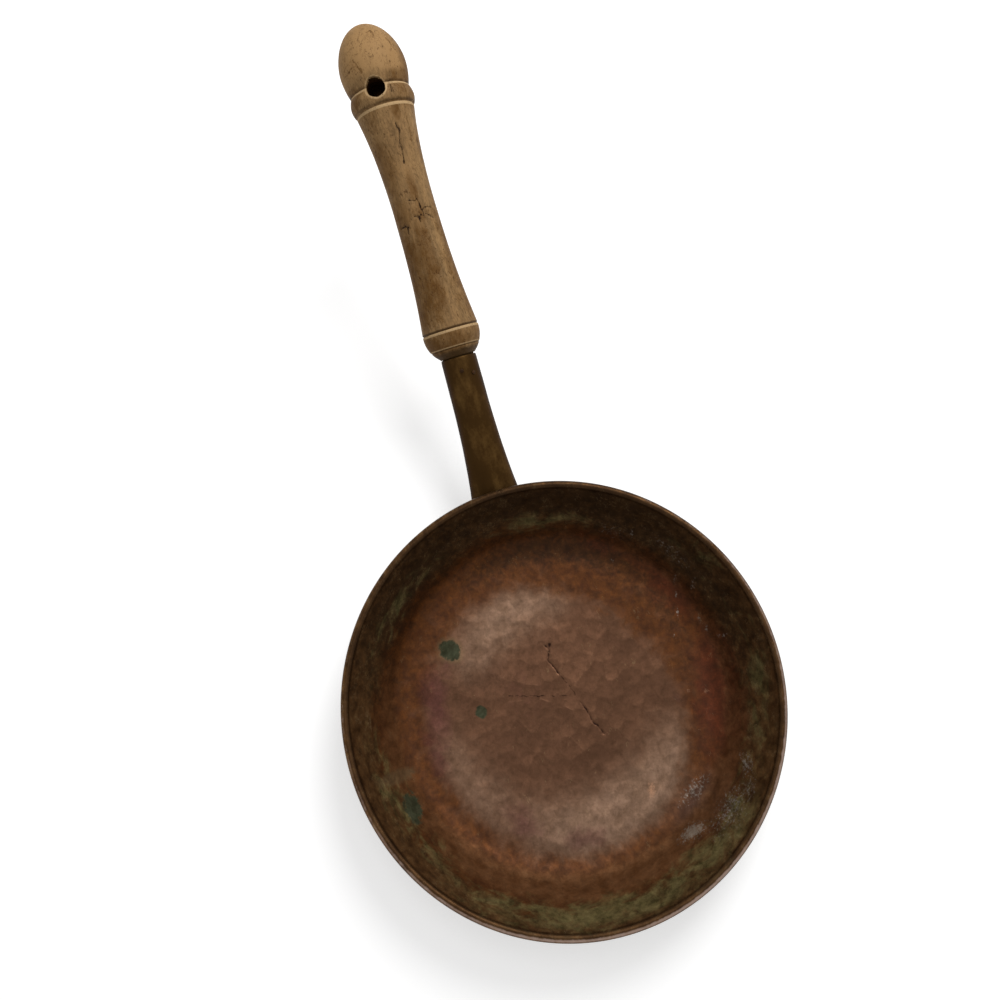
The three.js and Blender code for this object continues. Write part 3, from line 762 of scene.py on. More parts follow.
def build_pan(settings):
    """The bowl's inside, rim and outside as one closed skin, and the fields of its finishes."""
    section = PanSection(settings)
    rng = random.Random(PAN_SEED)
    inner, rim = section.inner_path(), section.rim_path()
    curl, outer = section.curl_path(), section.outer_path()
    path = np.r_[inner, rim, curl, outer]
    normals = np.r_[normals_of(np.r_[inner, rim[:1]])[:-1], normals_of(rim), normals_of(curl),
                    normals_of(outer)]
    # The marks are deepest on the floor, fade out under the rim and press through to the outside.
    marked_to = PAN_HEIGHT - 6
    inner_share = -np.interp(inner[:, 1], (0, 20, marked_to), (1, 0.75, 0.2))
    outer_share = np.interp(outer[:, 1], (0, 3, 30, marked_to), (-0.4, 0.6, 0.6, 0.1))
    share = np.r_[inner_share, np.zeros(len(rim) + len(curl)), outer_share]
    # The floor rises a little towards the wall, as a raised pan's does.
    dish = np.zeros(len(path))
    dish[:len(inner)] = (settings.dish / MM * smoothstep(inner[:, 0], 38, 103)
                         * (1 - smoothstep(inner[:, 1], 11, 38)))
    turn = turns(PAN_SIDES)
    around = np.c_[np.cos(turn), np.sin(turn)]

    def placed(section_points):
        flat = section_points[:, None, :1] * around[None]
        heights = np.broadcast_to(section_points[:, None, 1:], (*flat.shape[:2], 1))
        return np.concatenate([flat, heights], axis=2).reshape(-1, 3)

    points, outward = placed(path), placed(normals)
    mark = settings.hammer_mark / MM
    depth, ridge, struck = hammer_marks(points, hammer_centres(inner, mark, rng), mark, rng)
    share, dish = np.repeat(share, PAN_SIDES), np.repeat(dish, PAN_SIDES)
    inside = np.repeat(np.arange(len(path)) < len(inner), PAN_SIDES)
    wander = np.c_[noise_at(points, 2.4, 2), noise_at(points, 2.4, 3)] * CRACK_WANDER
    crack = crack_distance(points[:, :2] + wander, CRACKS)
    lift = depth * share * settings.mark_depth / MM + dish
    lift -= CRACK_DEPTH * bell(crack, 0, CRACK_WIDTH) * inside
    # The whole bowl is a little out of true, inside its own box.
    bend = np.sin(2 * turn + 0.7) * 0.5 + np.sin(3 * turn + 2.1) * 0.3 + np.sin(5 * turn) * 0.2
    pulled = np.tile(-0.2 * (1 + bend), len(path)) * np.clip(points[:, 2] / PAN_HEIGHT, 0, 1) ** 2
    points = points + outward * lift[:, None]
    points[:, :2] *= (1 + pulled / RIM_RADIUS)[:, None]
    points[:, 2] = np.clip(points[:, 2], 0, PAN_HEIGHT)
    piece = mesh_piece("copper_pan", points, capped_faces(len(path), PAN_SIDES),
                       raised_copper(settings))
    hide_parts("pan")

    radius = np.hypot(points[:, 0], points[:, 1])
    angle = np.degrees(np.arctan2(points[:, 1], points[:, 0]))
    floor_edge = np.interp(angle, ZONE_TURNS, FLOOR_EDGES, period=360)
    wall_edge = np.interp(angle, ZONE_TURNS, WALL_EDGES, period=360)
    hairline = crack_distance(points[:, :2] + wander, HAIRLINES) + HAIRLINE_WIDTH
    fields = {
        "heat_stain": smoothstep(radius, floor_edge - 13, floor_edge + 9) * inside,
        "wall": np.where(inside, smoothstep(radius, wall_edge - 6, wall_edge + 6), 1),
        "ridge": ridge * inside,
        "struck": struck,
        "crack": np.where(inside, np.minimum(crack, hairline), NO_CRACK),
    }
    for name, patches in MARKS.items():
        fields[name] = patch_field(points, patches) * inside
    for name, bands in BANDS.items():
        fields[name] = band_field(radius, angle, bands)
    # The rim is grimy, with painted shade, on its inner side, and rubbed, with a painted highlight,
    # on its outer side. The highlight is strongest away from the handle.
    crest = np.linspace(section.wall_side, section.wall_side - CURL_END, len(rim))
    for name, turned, spread in (("rubbed_and_highlight", 64, 0.45), ("rim_grime_and_shade", 118, 0.55)):
        over_rim = np.zeros(len(path))
        over_rim[len(inner):len(inner) + len(rim)] = bell(crest, math.radians(turned), spread)
        fields[name] = np.repeat(over_rim, PAN_SIDES)
    fields["rubbed_and_highlight"] *= 0.62 + 0.38 * np.cos(np.radians(angle - RIM_HIGHLIGHT_SIDE))
    for name, values in fields.items():
        add_attribute(piece, name, values)


# --- Socket ---------------------------------------------------------------------------------------

SOCKET_RISE = math.radians(24)
SOCKET_YAW = math.radians(-2)
SOCKET_LENGTH = 108.6
BARREL_LENGTH = 24
BARREL_TAPER = 0.01
FOOT_CURVE = 2.3
FOOT_HALF_HEIGHT = 9
FOOT_HEIGHT = 26
SEAM_WIDTH = 1.6
SOCKET_SIDES = 120
FILLET_SIDES = 150
MOUTH_EDGE = 0.978                   # share of the length where the filed edge begins
MOUTH_ROUND = 0.45


def socket_frame(section):
    """Where the socket's own line starts, and how it is turned."""
    reach = section.outer_corner + (FOOT_HEIGHT - section.corner[1]) * math.sin(section.flare)
    foot_radius = section.corner[0] + reach / math.cos(section.flare)
    return (Matrix.Translation(Vector((foot_radius, 0, FOOT_HEIGHT)) * MM)
            @ Matrix.Rotation(SOCKET_YAW, 4, "Z") @ Matrix.Rotation(-SOCKET_RISE, 4, "Y"))


def half_sizes(settings, behind_mouth):
    """Half width and half height of the tube, so many mm behind its mouth."""
    mouth, foot = settings.mouth_radius / MM, settings.foot_half_width / MM
    spreading = max(0, behind_mouth - BARREL_LENGTH) / (SOCKET_LENGTH - BARREL_LENGTH)
    spread = foot - mouth - BARREL_TAPER * SOCKET_LENGTH
    width = mouth + BARREL_TAPER * behind_mouth + spread * spreading ** FOOT_CURVE
    return width, mouth + (FOOT_HALF_HEIGHT - mouth) * behind_mouth / SOCKET_LENGTH


def tube_point(settings, behind_mouth, angle, outset):
    """A point of the tube's skin, moved outwards. The angle turns from Y towards Z."""
    width, height = half_sizes(settings, behind_mouth)
    return Vector((SOCKET_LENGTH - behind_mouth, (width + outset) * math.cos(angle),
                   (height + outset) * math.sin(angle)))


def foot_of(settings, section, angle, outset, clearance):
    """How far behind the mouth the tube's skin comes as near to the pan as the clearance."""
    matrix = socket_frame(section)
    behind_mouth = 0
    for _ in range(80):
        place = matrix @ (tube_point(settings, behind_mouth, angle, outset) * MM) / MM
        behind_mouth += section.room_outside(place) - clearance
    return behind_mouth


def build_tube(settings, section, brass):
    """The tapered tube. Its section is open at the seam, a C whose ends face each other."""
    wall = settings.wall / MM
    opening = (SEAM_WIDTH / 2 + GAP) / (settings.mouth_radius / MM)
    angles = np.linspace(-math.pi / 2 + opening, 1.5 * math.pi - opening, SOCKET_SIDES)
    outer_feet = [foot_of(settings, section, a, 0, GAP) for a in angles]
    inner_feet = [foot_of(settings, section, a, -wall, GAP) for a in angles]
    shares = np.r_[np.linspace(0, 0.965, 70), [MOUTH_EDGE, 0.988, 0.995, 1]]
    points = []
    for share in shares:
        # The mouth's edge is filed round.
        edge = max(0, (share - MOUTH_EDGE) / (1 - MOUTH_EDGE))
        rounding = MOUTH_ROUND * (1 - math.sqrt(max(0, 1 - edge ** 2)))
        for angle, foot in zip(angles, outer_feet):
            behind = foot * (1 - share)
            place = tube_point(settings, behind, angle, -rounding)
            dent = 0.12 * noise.noise(place / 17) + 0.05 * noise.noise(place / 6)
            points.append(tube_point(settings, behind, angle, -rounding - 0.06 + dent * 0.6))
        for angle, foot in zip(angles[::-1], inner_feet[::-1]):
            points.append(tube_point(settings, foot * (1 - share), angle, -wall))
    columns = 2 * SOCKET_SIDES
    faces = grid_faces(len(shares), columns)
    for row in (0, len(shares) - 1):
        for column in range(SOCKET_SIDES - 1):
            quad = (row * columns + column, row * columns + column + 1,
                    (row + 1) * columns - column - 2, (row + 1) * columns - column - 1)
            faces.append(quad if row else quad[::-1])
    points = np.array(points)
    tube = mesh_piece("brass_socket", points, faces, brass, socket_frame(section))
    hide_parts("handle_socket")
    # A painted highlight runs along one side of the top, where the hand that steadies the pan also
    # rubs the brass lighter.
    turn = np.degrees(np.arctan2(points[:, 2], points[:, 1]))
    add_attribute(tube, "handled_and_highlight", bell(turn, 104, 20))


def build_seam(settings, section, braze):
    """The braze in the seam, which stands a little proud and runs in soft ripples."""
    outline = ((-1, 0), (-0.6, 0.18), (0, 0.28), (0.6, 0.18), (1, 0), (1, -1), (-1, -1))
    foot = foot_of(settings, section, -math.pi / 2, 0, GAP)
    behind_mouth = foot * (1 - np.linspace(0, 1, 90))
    points = []
    for behind in behind_mouth:
        _, height = half_sizes(settings, behind)
        for x, z in outline:
            ripple = 0.1 * noise.noise(Vector((behind / 2.5, x * 0.7, 0)))
            proud = z * 0.35 + ripple - 0.12 if z >= 0 else -settings.wall / MM + 0.1
            points.append((SOCKET_LENGTH - behind, x * SEAM_WIDTH / 2, -(height + proud)))
    seam = mesh_piece("seam_braze", points, capped_faces(len(behind_mouth), len(outline)), braze,
                      socket_frame(section))
    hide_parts("socket_seam")


def build_fillet(settings, section, braze):
    """The fillet round the foot: a hollow curve from the tube's skin to the pan's wall."""
    leg = settings.braze_leg / MM * 0.86
    points = []
    for angle in turns(FILLET_SIDES):
        swell = 1 + 0.16 * noise.noise(Vector((math.cos(angle), math.sin(angle), 0)) * 4.5)
        places = [(GAP, GAP)]
        for turn in np.linspace(0, math.pi / 2, 7):
            reach = leg * swell * (1 - 0.25 * math.sin(2 * turn))
            places.append((GAP + reach * math.cos(turn) ** 1.5,
                           GAP + reach * math.sin(turn) ** 1.5))
        points += [
            tube_point(settings, foot_of(settings, section, angle, out, clear), angle, out)
            for out, clear in places]
    faces = grid_faces(FILLET_SIDES, len(places), rows_close=True)
    fillet = mesh_piece("foot_fillet", points, faces, braze, socket_frame(section))
    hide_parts("foot_braze")


def build_socket(settings, pan_settings):
    """The socket's tube, its seam and the fillet round its foot."""
    section = PanSection(pan_settings)
    matrix = socket_frame(section)
    brass = patinated_brass("patinated_brass", matrix, settings.patina_colour,
                            settings.rubbed_and_highlight_colour, 2.2)
    braze = patinated_brass("cast_braze", matrix, settings.braze_colour,
                            settings.rubbed_and_highlight_colour, 1.2)
    build_tube(settings, section, brass)
    build_seam(settings, section, braze)
    build_fillet(settings, section, braze)


# --- Wooden handle --------------------------------------------------------------------------------

HANDLE_YAW = math.radians(1.5)
TENON_LENGTH = 34
BALL_LENGTH, BALL_WIDEST, BALL_SWELL = 17.2, 15, 7.2
FINE_LINE = 5.6
LOWER_GRIP_LENGTH, LOWER_GRIP_CURVE = 77.8, 2
UPPER_GRIP_LENGTH, UPPER_GRIP_CURVE = 61.3, 2.35
UPPER_GRIP_RADIUS = 18.6
BEAD_LENGTH, BEAD_SWELL = 12.7, 1.8
EGG_BASE_LENGTH, EGG_END_LENGTH, EGG_FULLNESS = 14.3, 27.5, 1.8
GROOVE_DEPTH = 2.5
LINE_DEPTH, LINE_WIDTH = 0.5, 1.2
HOLE_BELOW_GROOVE = 1.6
HOLE_ROLL = math.radians(-8)

WAIST = BALL_LENGTH + LOWER_GRIP_LENGTH
UPPER_RING = WAIST + UPPER_GRIP_LENGTH
GROOVE = UPPER_RING + BEAD_LENGTH
EGG_WIDEST = GROOVE + EGG_BASE_LENGTH
HANDLE_END = EGG_WIDEST + EGG_END_LENGTH
HANDLE_SIDES = 224
HOLE_SIDES = 48
HOLE_LINING_DEPTH = 2.4              # from here inwards a face near the hole is its lining
HOLE_LINING_REACH = 12               # how near to the hole's middle such a face lies

# Marks on the handle as (mm from the socket's mouth, turn round the handle in degrees). The turn
# is 0 at +Y and 90 at the top.
WOOD_CRACKS = [
    [(145, 101), (141, 102), (134, 101), (128, 98.5), (121, 96)],
    [(168.6, 109), (165, 108), (161.5, 106.5)],
    [(99.5, 102), (96, 102), (92.2, 102), (90, 110), (88, 105.5)],
    [(99.5, 80), (98, 96)],
    [(92, 104), (93, 119), (92.3, 138)],
    [(90, 110), (87.7, 123), (85.3, 134)],
    [(88.2, 92), (89.3, 80)],
    [(84.5, 94), (88.2, 92), (89.4, 99)],
    [(84.8, 27), (84.9, 48), (83.3, 61)],
    [(83.1, 54), (79.3, 51)],
]
# Shallow brown scrapes, in the same way.
WOOD_SCRAPES = [
    [(182, 24), (184.7, 43), (185.7, 58), (182, 64), (177, 67)],
    [(180, 33), (182.5, 56), (180, 66)],
    [(200, 96), (201, 106), (197, 109), (195, 104)],
    [(195, 130), (189.5, 136), (186, 143), (180, 146)],
    [(109, 100), (99.5, 102)],
    [(136, 60), (130, 66), (124, 70)],
    [(56, 84), (48, 88), (41, 90)],
    [(150, 128), (141, 131), (133, 129)],
]
# Stains: their place in the same way, half their length and width in mm, and their strength.
WOOD_STAINS = [
    (190, 30, 20, 16, 0.2), (182.6, 56, 6, 6, 0.8), (198, 98, 7, 5, 0.5), (165, 20, 9, 16, 0.8),
    (165, 128, 6, 9, 0.6), (152, 108, 7, 3.5, 0.8), (150, 45, 12, 14, 0.5), (105, 98, 16, 4, 0.8),
    (90, 100, 11, 10, 0.5), (92, 40, 16, 11, 0.75), (120, 40, 26, 11, 0.75), (60, 86, 34, 8, 0.75),
    (40, 76, 24, 10, 0.85), (60, 30, 46, 12, 0.75), (30, 40, 16, 14, 0.8), (12, 78, 8, 12, 0.8),
    (9, 30, 11, 14, 1), (9, 90, 9, 22, 0.7), (10, 140, 9, 14, 0.55), (40, 130, 30, 10, 0.3),
    (100, 290, 90, 26, 0.5), (60, 166, 70, 16, 0.6), (178, 163, 34, 24, 0.75),
    (140, 168, 30, 12, 0.4), (150, 200, 30, 16, 0.35), (60, 230, 40, 18, 0.45),
]
UNSTAINED = 0.12                     # the little stain that all of the wood has
# Turned lines: their place, depth and width. The bead is cut in sharply above the grip.
TURNED_LINES = ((FINE_LINE, 0.35, 1.0), (BALL_LENGTH, LINE_DEPTH + 0.1, LINE_WIDTH),
                (UPPER_RING + 1.0, 1.0, 2.0), (GROOVE, 0.3, LINE_WIDTH))
# Edges rubbed pale beside them, and dark lines in them, of dirt and painted shade, under the bead,
# in the grooves and against the socket: their place, half width and strength.
PALE_EDGES = ((BALL_LENGTH - 0.9, 0.6, 1.3), (UPPER_RING - 0.2, 0.75, 1.8),
              (GROOVE - 0.8, 0.6, 1.0), (FINE_LINE + 0.8, 0.45, 0.8))
GRIME_AND_SHADE_LINES = ((BALL_LENGTH + 0.5, 0.8, 1.2), (UPPER_RING + 2, 1.5, 0.55),
               (GROOVE + 0.5, 1.3, 0.6), (0, 4.0, 1.4), (FINE_LINE, 0.4, 0.9))


def seat_of(settings):
    """The space from the socket's mouth to the handle's face, which is set a little askew."""
    return GAP + settings.mouth_radius / MM * abs(math.sin(HANDLE_YAW))


def swelling(end, widest, reach, from_widest):
    """Radius of an ellipse that is `end` at one end of its reach and `widest` at the other."""
    cut = math.sqrt(1 - (end / widest) ** 2)
    return widest * math.sqrt(1 - (cut * from_widest / reach) ** 2)


def handle_radius(settings, mouth, x):
    """The turned outline, x mm from the face that sits on the socket."""
    face = mouth - GAP
    waist, egg = settings.waist_radius / MM, settings.egg_radius / MM
    groove = egg - GROOVE_DEPTH
    if x < BALL_LENGTH:
        return swelling(face, face + BALL_SWELL, BALL_WIDEST, BALL_WIDEST - x)
    if x < WAIST:
        top = swelling(face, face + BALL_SWELL, BALL_WIDEST, BALL_WIDEST - BALL_LENGTH)
        return waist + (top - waist) * ((WAIST - x) / LOWER_GRIP_LENGTH) ** LOWER_GRIP_CURVE
    if x < UPPER_RING:
        share = (x - WAIST) / UPPER_GRIP_LENGTH
        return waist + (UPPER_GRIP_RADIUS - waist) * share ** UPPER_GRIP_CURVE
    if x < GROOVE:
        share = (x - UPPER_RING) / BEAD_LENGTH
        between = UPPER_GRIP_RADIUS + (groove - UPPER_GRIP_RADIUS) * share
        return between + BEAD_SWELL * math.sin(math.pi * share)
    if x < EGG_WIDEST:
        return swelling(groove, egg, EGG_BASE_LENGTH, EGG_WIDEST - x)
    share = min(1, (x - EGG_WIDEST) / EGG_END_LENGTH)
    return egg * math.sqrt(max(0, 1 - share ** EGG_FULLNESS))


def wood_line_distance(x, turn, radius, lines):
    """Distance in mm of places on the handle's skin to the nearest of the lines."""
    nearest = np.full(len(x), NO_CRACK)
    for line in lines:
        start, middle = line[0]
        unrolled = np.c_[x, np.radians(around_from(middle, turn)) * radius]
        skin = np.mean(radius[np.abs(x - start) < 4])
        drawn = [(place, math.radians(angle - middle) * skin) for place, angle in line]
        nearest = np.minimum(nearest, crack_distance(unrolled, [drawn]))
    return nearest


def handle_rings(settings, mouth, seat):
    """Rings of the turned shape as (x, radius), close together at the turned lines and the end."""
    end_share = np.sin(np.linspace(0, math.pi / 2, 34))
    stations = [*np.arange(0, EGG_WIDEST, 1.0), *(EGG_WIDEST + EGG_END_LENGTH * end_share[:-1]),
                HANDLE_END - 0.02]
    stations += [line + step * width for line, _, width in TURNED_LINES
                 for step in (-0.7, -0.5, -0.25, 0, 0.25, 0.5, 0.7)]
    stations = np.array(sorted({round(x, 3) for x in stations}))
    stations = stations[np.r_[True, np.diff(stations) > 0.12]]
    rings = [(-seat - TENON_LENGTH, 0.3), (-seat - TENON_LENGTH, 8.6), (-seat - 2, 9.9), (0, 10.0)]
    for x in stations:
        radius = handle_radius(settings, mouth, x)
        for line, depth, width in TURNED_LINES:
            radius -= depth * max(0, 1 - abs(x - line) / (width / 2)) ** 0.8
        rings.append((x, radius))
    return rings


def strongest_line(x, lines, field):
    """A field, with soft lines turned round the handle added where they are stronger."""
    for line, width, strength in lines:
        field = np.maximum(field, strength * bell(x, line, width))
    return field


def build_handle(settings, socket_settings, pan_settings):
    """The turned handle with its hole bored, and the fields of its wear and stains."""
    seat, mouth = seat_of(socket_settings), socket_settings.mouth_radius / MM
    matrix = (socket_frame(PanSection(pan_settings))
              @ Matrix.Translation(Vector(((SOCKET_LENGTH + seat) * MM, 0, 0)))
              @ Matrix.Rotation(HANDLE_YAW, 4, "Z"))
    rings = handle_rings(settings, mouth, seat)
    flat = np.array([(x, r * math.cos(t), r * math.sin(t))
                     for x, r in rings for t in turns(HANDLE_SIDES)])

    # Old wood is no longer quite round: soft hollows, and fibres that stand a little proud.
    outward = flat * (0, 1, 1)
    radius = np.linalg.norm(outward, axis=1)
    outward /= radius[:, None]
    wear = noise_at(flat * (0.5, 1, 1), 16, 0) * 0.22 + noise_at(flat * (0.15, 1, 1), 2.2, 1) * 0.05
    shown = flat[:, 0] > 0.5
    degrees = np.degrees(np.arctan2(flat[:, 2], flat[:, 1]))
    wander = noise_at(flat * (0.6, 1, 1), 2.5, 4) * 4
    crack = wood_line_distance(flat[:, 0], degrees + wander, radius, WOOD_CRACKS)
    sunk = (wear - 0.2 - 0.8 * bell(crack, 0, 0.45)) * shown
    piece = mesh_piece("wooden_handle", flat + outward * sunk[:, None],
                       capped_faces(len(rings), HANDLE_SIDES), turned_beech(settings, matrix))
    cut_hole(piece, settings)
    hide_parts("wood_handle")

    mesh = piece.data
    places = np.empty(len(mesh.vertices) * 3)
    mesh.vertices.foreach_get("co", places)
    places = places.reshape(-1, 3) / MM
    x = places[:, 0]
    degrees = np.degrees(np.arctan2(places[:, 2], places[:, 1]))
    skin = np.array([handle_radius(settings, mouth, min(max(v, 0), HANDLE_END)) for v in x])
    # The hole's edge is worn pale, and a highlight is painted on it, strongest on the side towards
    # the grip.
    hole = (GROOVE - HOLE_BELOW_GROOVE, 0, 0)
    hole_axis = Matrix.Rotation(HOLE_ROLL, 3, "X") @ Vector((0, 0, 1))
    from_hole = places - np.array(hole)
    from_axis = from_hole - np.outer(from_hole @ np.array(hole_axis), hole_axis)
    hole_edge = np.linalg.norm(from_axis, axis=1) - settings.hole_radius / MM
    pale_and_highlight = bell(hole_edge, 0.8, 0.85) * np.where(from_axis[:, 0] < 0, 1.2, 0.5)
    stain = np.full(len(x), UNSTAINED)
    for place, angle, half_length, half_width, strength in WOOD_STAINS:
        across = np.radians(around_from(angle, degrees)) * skin / half_width
        shape = 1 - ((x - place) / half_length) ** 2 - across ** 2
        stain = np.maximum(stain, strength * np.clip(shape, 0, 1))
    # Hands rub the end palest, and the middle of the grip a little.
    worn = np.maximum(smoothstep(x, GROOVE + 2, GROOVE + 11), 0.42 * bell(x, 112, 30))
    worn *= 1 - 0.85 * smoothstep(np.abs(around_from(90, degrees)), 35, 75) * (degrees > 90)
    wandering = degrees + noise_at(places * (0.6, 1, 1), 2.5, 4) * 4
    for name, values in (
            ("crack", wood_line_distance(x, wandering, skin, WOOD_CRACKS)),
            ("scrape", wood_line_distance(x, wandering, skin, WOOD_SCRAPES)),
            ("worn", worn), ("pale_and_highlight", strongest_line(x, PALE_EDGES, pale_and_highlight)),
            ("grime_and_shade", strongest_line(x, GRIME_AND_SHADE_LINES, np.zeros(len(x)))), ("stain", stain)):
        add_attribute(piece, name, values)
    mesh.materials.append(dirty_shaded_end_grain())
    for face in mesh.polygons:
        middle = face.center / MM
        depth = (handle_radius(settings, mouth, min(max(middle.x, 0), HANDLE_END))
                 - math.hypot(middle.y, middle.z))
        if depth > HOLE_LINING_DEPTH and abs(middle.x - hole[0]) < HOLE_LINING_REACH:
            face.material_index = 1
    mesh.transform(matrix)


def cut_hole(piece, settings):
    """Bores the hanging hole through the handle, worn wide at both faces and a little uneven."""
    heights = (-30, -19.6, -18.6, -17.4, 14, 16.4, 17.8, 19.2, 21, 30)
    widths = (0.9, 0.7, 0.3, 0, 0, 0.2, 0.5, 0.7, 0.8, 0.9)
    points = []
    for height, wider in zip(heights, widths):
        for turn in turns(HOLE_SIDES):
            place = Vector((math.cos(turn) * 1.6, math.sin(turn) * 1.6, height / 9))
            reach = settings.hole_radius / MM + wider * 0.75 + 0.5 * noise.noise(place)
            points.append((reach * math.cos(turn), reach * math.sin(turn), height))
    mesh = bpy.data.meshes.new("hole_cutter")
    mesh.from_pydata((np.array(points) * MM).tolist(), [], capped_faces(len(heights), HOLE_SIDES))
    cutter = bpy.data.objects.new("hole_cutter", mesh)
    bpy.context.scene.collection.objects.link(cutter)
    cutter.matrix_world = (Matrix.Translation(Vector((GROOVE - HOLE_BELOW_GROOVE, 0, 0)) * MM)
                           @ Matrix.Rotation(HOLE_ROLL, 4, "X"))
    bore = piece.modifiers.new("bore", "BOOLEAN")
    bore.operation = "DIFFERENCE"
    bore.object = cutter
    bore.solver = "EXACT"
    bpy.context.view_layer.update()
    evaluated = piece.evaluated_get(bpy.context.evaluated_depsgraph_get())
    bored = bpy.data.meshes.new_from_object(evaluated)
    piece.modifiers.clear()
    piece.data = bored
    bpy.data.objects.remove(cutter)


# --- Nails and rim wire ---------------------------------------------------------------------------

# Each nail's place behind the mouth in mm, and its turn round the socket in degrees.
NAILS = (("handle_nail_1", 9.1, -4), ("handle_nail_2", 11.8, 32))
# Radius and height above the socket's skin, from the point to the middle of the head.
NAIL_PROFILE = ((0.05, -9), (0.6, -8.4), (0.6, 0.28), (1.1, 0.3), (1.3, 0.42), (1.24, 0.6),
                (1.0, 0.76), (0.6, 0.86), (0.1, 0.9))
NAIL_SIDES = 28


def build_ironwork(settings, socket_settings, pan_settings):
    """Hand-made nails with low, uneven heads, and the iron wire in the rim."""
    matrix = socket_frame(PanSection(pan_settings))
    iron = forged_iron(settings)
    for node, behind, roll in NAILS:
        _, skin = half_sizes(socket_settings, behind)
        place = (matrix @ Matrix.Translation(Vector(((SOCKET_LENGTH - behind) * MM, 0, 0)))
                 @ Matrix.Rotation(math.radians(roll), 4, "X"))
        points = []
        for radius, height in NAIL_PROFILE:
            for turn in turns(NAIL_SIDES):
                uneven = 1 + 0.09 * noise.noise(
                    Vector((math.cos(turn) * 1.3, math.sin(turn) * 1.3, behind)))
                reach = radius * (uneven if height > 0.2 else 1) * 0.97
                points.append((reach * math.cos(turn), reach * math.sin(turn), skin + height))
        nail = mesh_piece(node + "_forged", points, capped_faces(len(NAIL_PROFILE), NAIL_SIDES),
                          iron, place)
        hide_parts(node)
    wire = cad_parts["rim_wire"]
    wire.data.materials.clear()
    wire.data.materials.append(iron)


# --- Stage ----------------------------------------------------------------------------------------

GROUND_RADIUS = 3.0                  # metres
GROUND_DROP = 0.0002                 # metres below the pan's underside
GROUND_SIDES = 64
AIM = Vector((0.05, 0, 0.03))        # metres: where the lamps point


def pale_board():
    """Plain white board under soft light. The camera and shiny metal see it white, and it keeps
    the shadow of the pan."""
    m = new_material("pale_board")
    lift = add_node(m, "Math", (seen_directly(m), 0.5), operation="MULTIPLY")
    board = add_node(m, "BsdfDiffuse", {"Color": "#ececec"})
    glow = add_node(m, "Emission", {"Color": "#ffffff", "Strength": lift})
    both = add_node(m, "AddShader", (board, glow))
    add_node(m, "OutputMaterial", {"Surface": both})
    return m


def build_stage():
    """The ground, the soft light and the camera."""
    scene = bpy.context.scene
    scene.view_settings.view_transform = "Standard"

    mesh = bpy.data.meshes.new("ground")
    edge = [(GROUND_RADIUS * math.cos(t), GROUND_RADIUS * math.sin(t), -GROUND_DROP)
            for t in turns(GROUND_SIDES)]
    mesh.from_pydata(edge, [], [tuple(range(GROUND_SIDES))])
    mesh.materials.append(pale_board())
    ground = bpy.data.objects.new("ground", mesh)
    scene.collection.objects.link(ground)

    world = bpy.data.worlds.new("studio")
    scene.world = world
    world.use_nodes = True
    world.node_tree.nodes.clear()
    strength = add_node(world, "MapRange", {
        "Value": seen_directly(world), "To Min": 0.37, "To Max": 1.0})
    light = add_node(world, "Background", {"Color": "#ffffff", "Strength": strength})
    add_node(world, "OutputWorld", {"Surface": light})

    # Soft boxes: direction round from the handle, height in degrees, distance and size in metres,
    # and power in watts.
    for name, azimuth, height, distance, size, power in (
            ("key", -42, 53, 1.2, 0.55, 7.2), ("top", -8, 79, 1.2, 0.35, 1.0)):
        lamp = bpy.data.lights.new(name, "AREA")
        lamp.shape = "DISK"
        lamp.size = size
        lamp.energy = power
        lamp_object = bpy.data.objects.new(name, lamp)
        scene.collection.objects.link(lamp_object)
        a, h = math.radians(azimuth), math.radians(height)
        away = Vector((math.cos(a) * math.cos(h), math.sin(a) * math.cos(h), math.sin(h)))
        lamp_object.location = AIM + away * distance
        lamp_object.rotation_euler = (-away).to_track_quat("-Z", "Y").to_euler()

    camera = bpy.data.cameras.new("camera")
    camera.lens = 32.4
    camera.sensor_width = 36
    camera.shift_y = -0.05
    camera_object = bpy.data.objects.new("camera", camera)
    scene.collection.objects.link(camera_object)
    camera_object.location = (-0.02893, 0.03690, 0.59165)
    camera_object.rotation_euler = Euler(
        [math.radians(angle) for angle in (19.236, 1.095, -107.864)], "XYZ")
    scene.camera = camera_object


# --- Add-on ---------------------------------------------------------------------------------------


class WARMINGPAN_OT_pan(bpy.types.Operator):
    """Build the hammered copper bowl with its rolled rim"""
    bl_idname = "warmingpan.pan"
    bl_label = "Copper Pan"

    def execute(self, context):
        build_pan(context.scene.warming_pan.pan)
        return {"FINISHED"}


class WARMINGPAN_OT_socket(bpy.types.Operator):
    """Build the brass socket, its brazed seam and the fillet round its foot"""
    bl_idname = "warmingpan.socket"
    bl_label = "Socket and Braze"

    def execute(self, context):
        settings = context.scene.warming_pan
        build_socket(settings.socket, settings.pan)
        return {"FINISHED"}


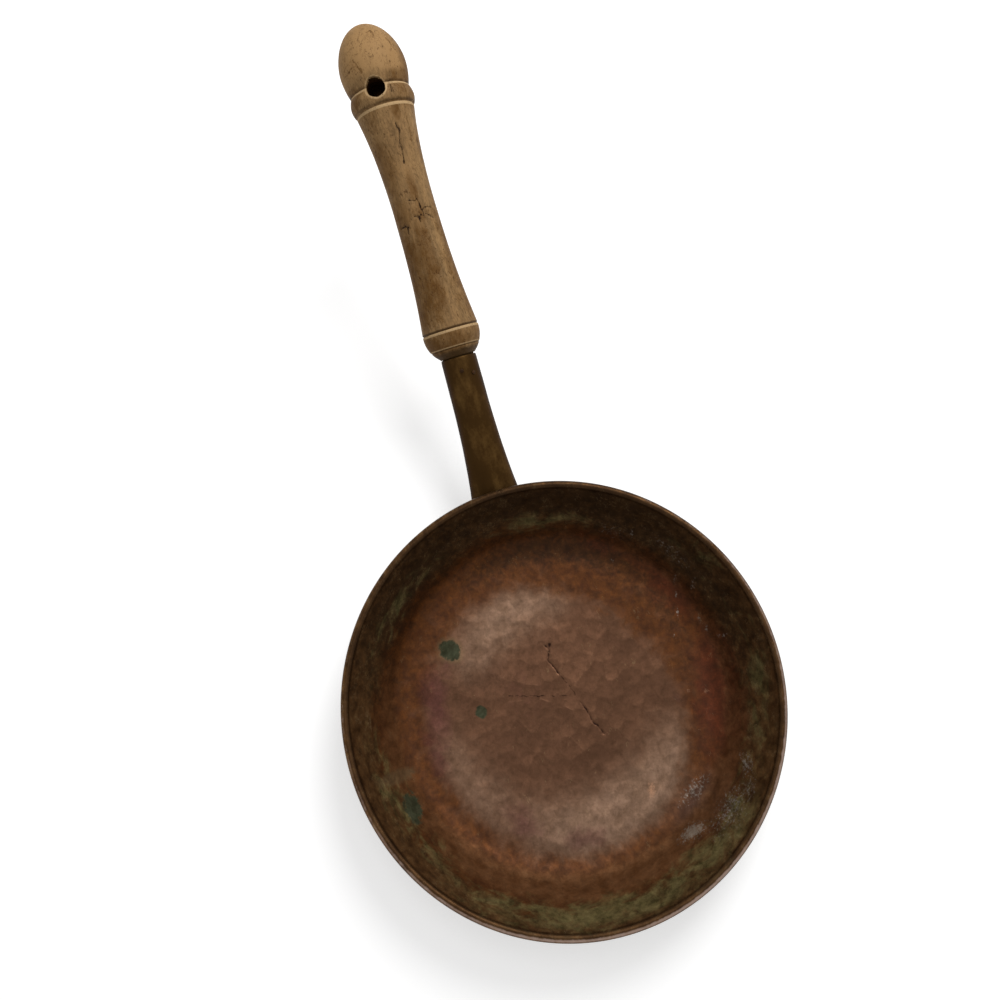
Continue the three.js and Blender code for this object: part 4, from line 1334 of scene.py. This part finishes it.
class WARMINGPAN_OT_handle(bpy.types.Operator):
    """Turn the wooden handle and bore its hanging hole"""
    bl_idname = "warmingpan.handle"
    bl_label = "Wooden Handle"

    def execute(self, context):
        settings = context.scene.warming_pan
        build_handle(settings.handle, settings.socket, settings.pan)
        return {"FINISHED"}


class WARMINGPAN_OT_ironwork(bpy.types.Operator):
    """Forge the handle's nails and finish the wire in the rim"""
    bl_idname = "warmingpan.ironwork"
    bl_label = "Nails and Rim Wire"

    def execute(self, context):
        settings = context.scene.warming_pan
        build_ironwork(settings.handle, settings.socket, settings.pan)
        return {"FINISHED"}


class WARMINGPAN_OT_stage(bpy.types.Operator):
    """Set up the pale ground, the soft light and the camera"""
    bl_idname = "warmingpan.stage"
    bl_label = "Stage"

    def execute(self, context):
        build_stage()
        return {"FINISHED"}


class WARMINGPAN_PT_panel(bpy.types.Panel):
    """Lists the parts of the warming pan and their settings"""
    bl_idname = "WARMINGPAN_PT_panel"
    bl_label = "Warming Pan"
    bl_space_type = "VIEW_3D"
    bl_region_type = "UI"
    bl_category = "Warming Pan"

    def draw(self, context):
        settings = context.scene.warming_pan
        for operator in OPERATORS:
            self.layout.operator(operator.bl_idname)
        for group in (settings.pan, settings.socket, settings.handle):
            box = self.layout.box()
            for name in group.bl_rna.properties.keys():
                if name not in ("name", "rna_type"):
                    box.prop(group, name)


SETTINGS = (PanSettings, SocketSettings, HandleSettings, WarmingPanSettings)
OPERATORS = (WARMINGPAN_OT_stage, WARMINGPAN_OT_pan, WARMINGPAN_OT_socket, WARMINGPAN_OT_handle,
             WARMINGPAN_OT_ironwork)


def register():
    for cls in (*SETTINGS, *OPERATORS, WARMINGPAN_PT_panel):
        bpy.utils.register_class(cls)
    bpy.types.Scene.warming_pan = bpy.props.PointerProperty(type=WarmingPanSettings)


def unregister():
    del bpy.types.Scene.warming_pan
    for cls in reversed((*SETTINGS, *OPERATORS, WARMINGPAN_PT_panel)):
        bpy.utils.unregister_class(cls)


def main():
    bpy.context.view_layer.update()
    register()
    bpy.ops.warmingpan.stage()
    bpy.ops.warmingpan.pan()
    bpy.ops.warmingpan.socket()
    bpy.ops.warmingpan.handle()
    bpy.ops.warmingpan.ironwork()


if __name__ == "__main__":
    main()
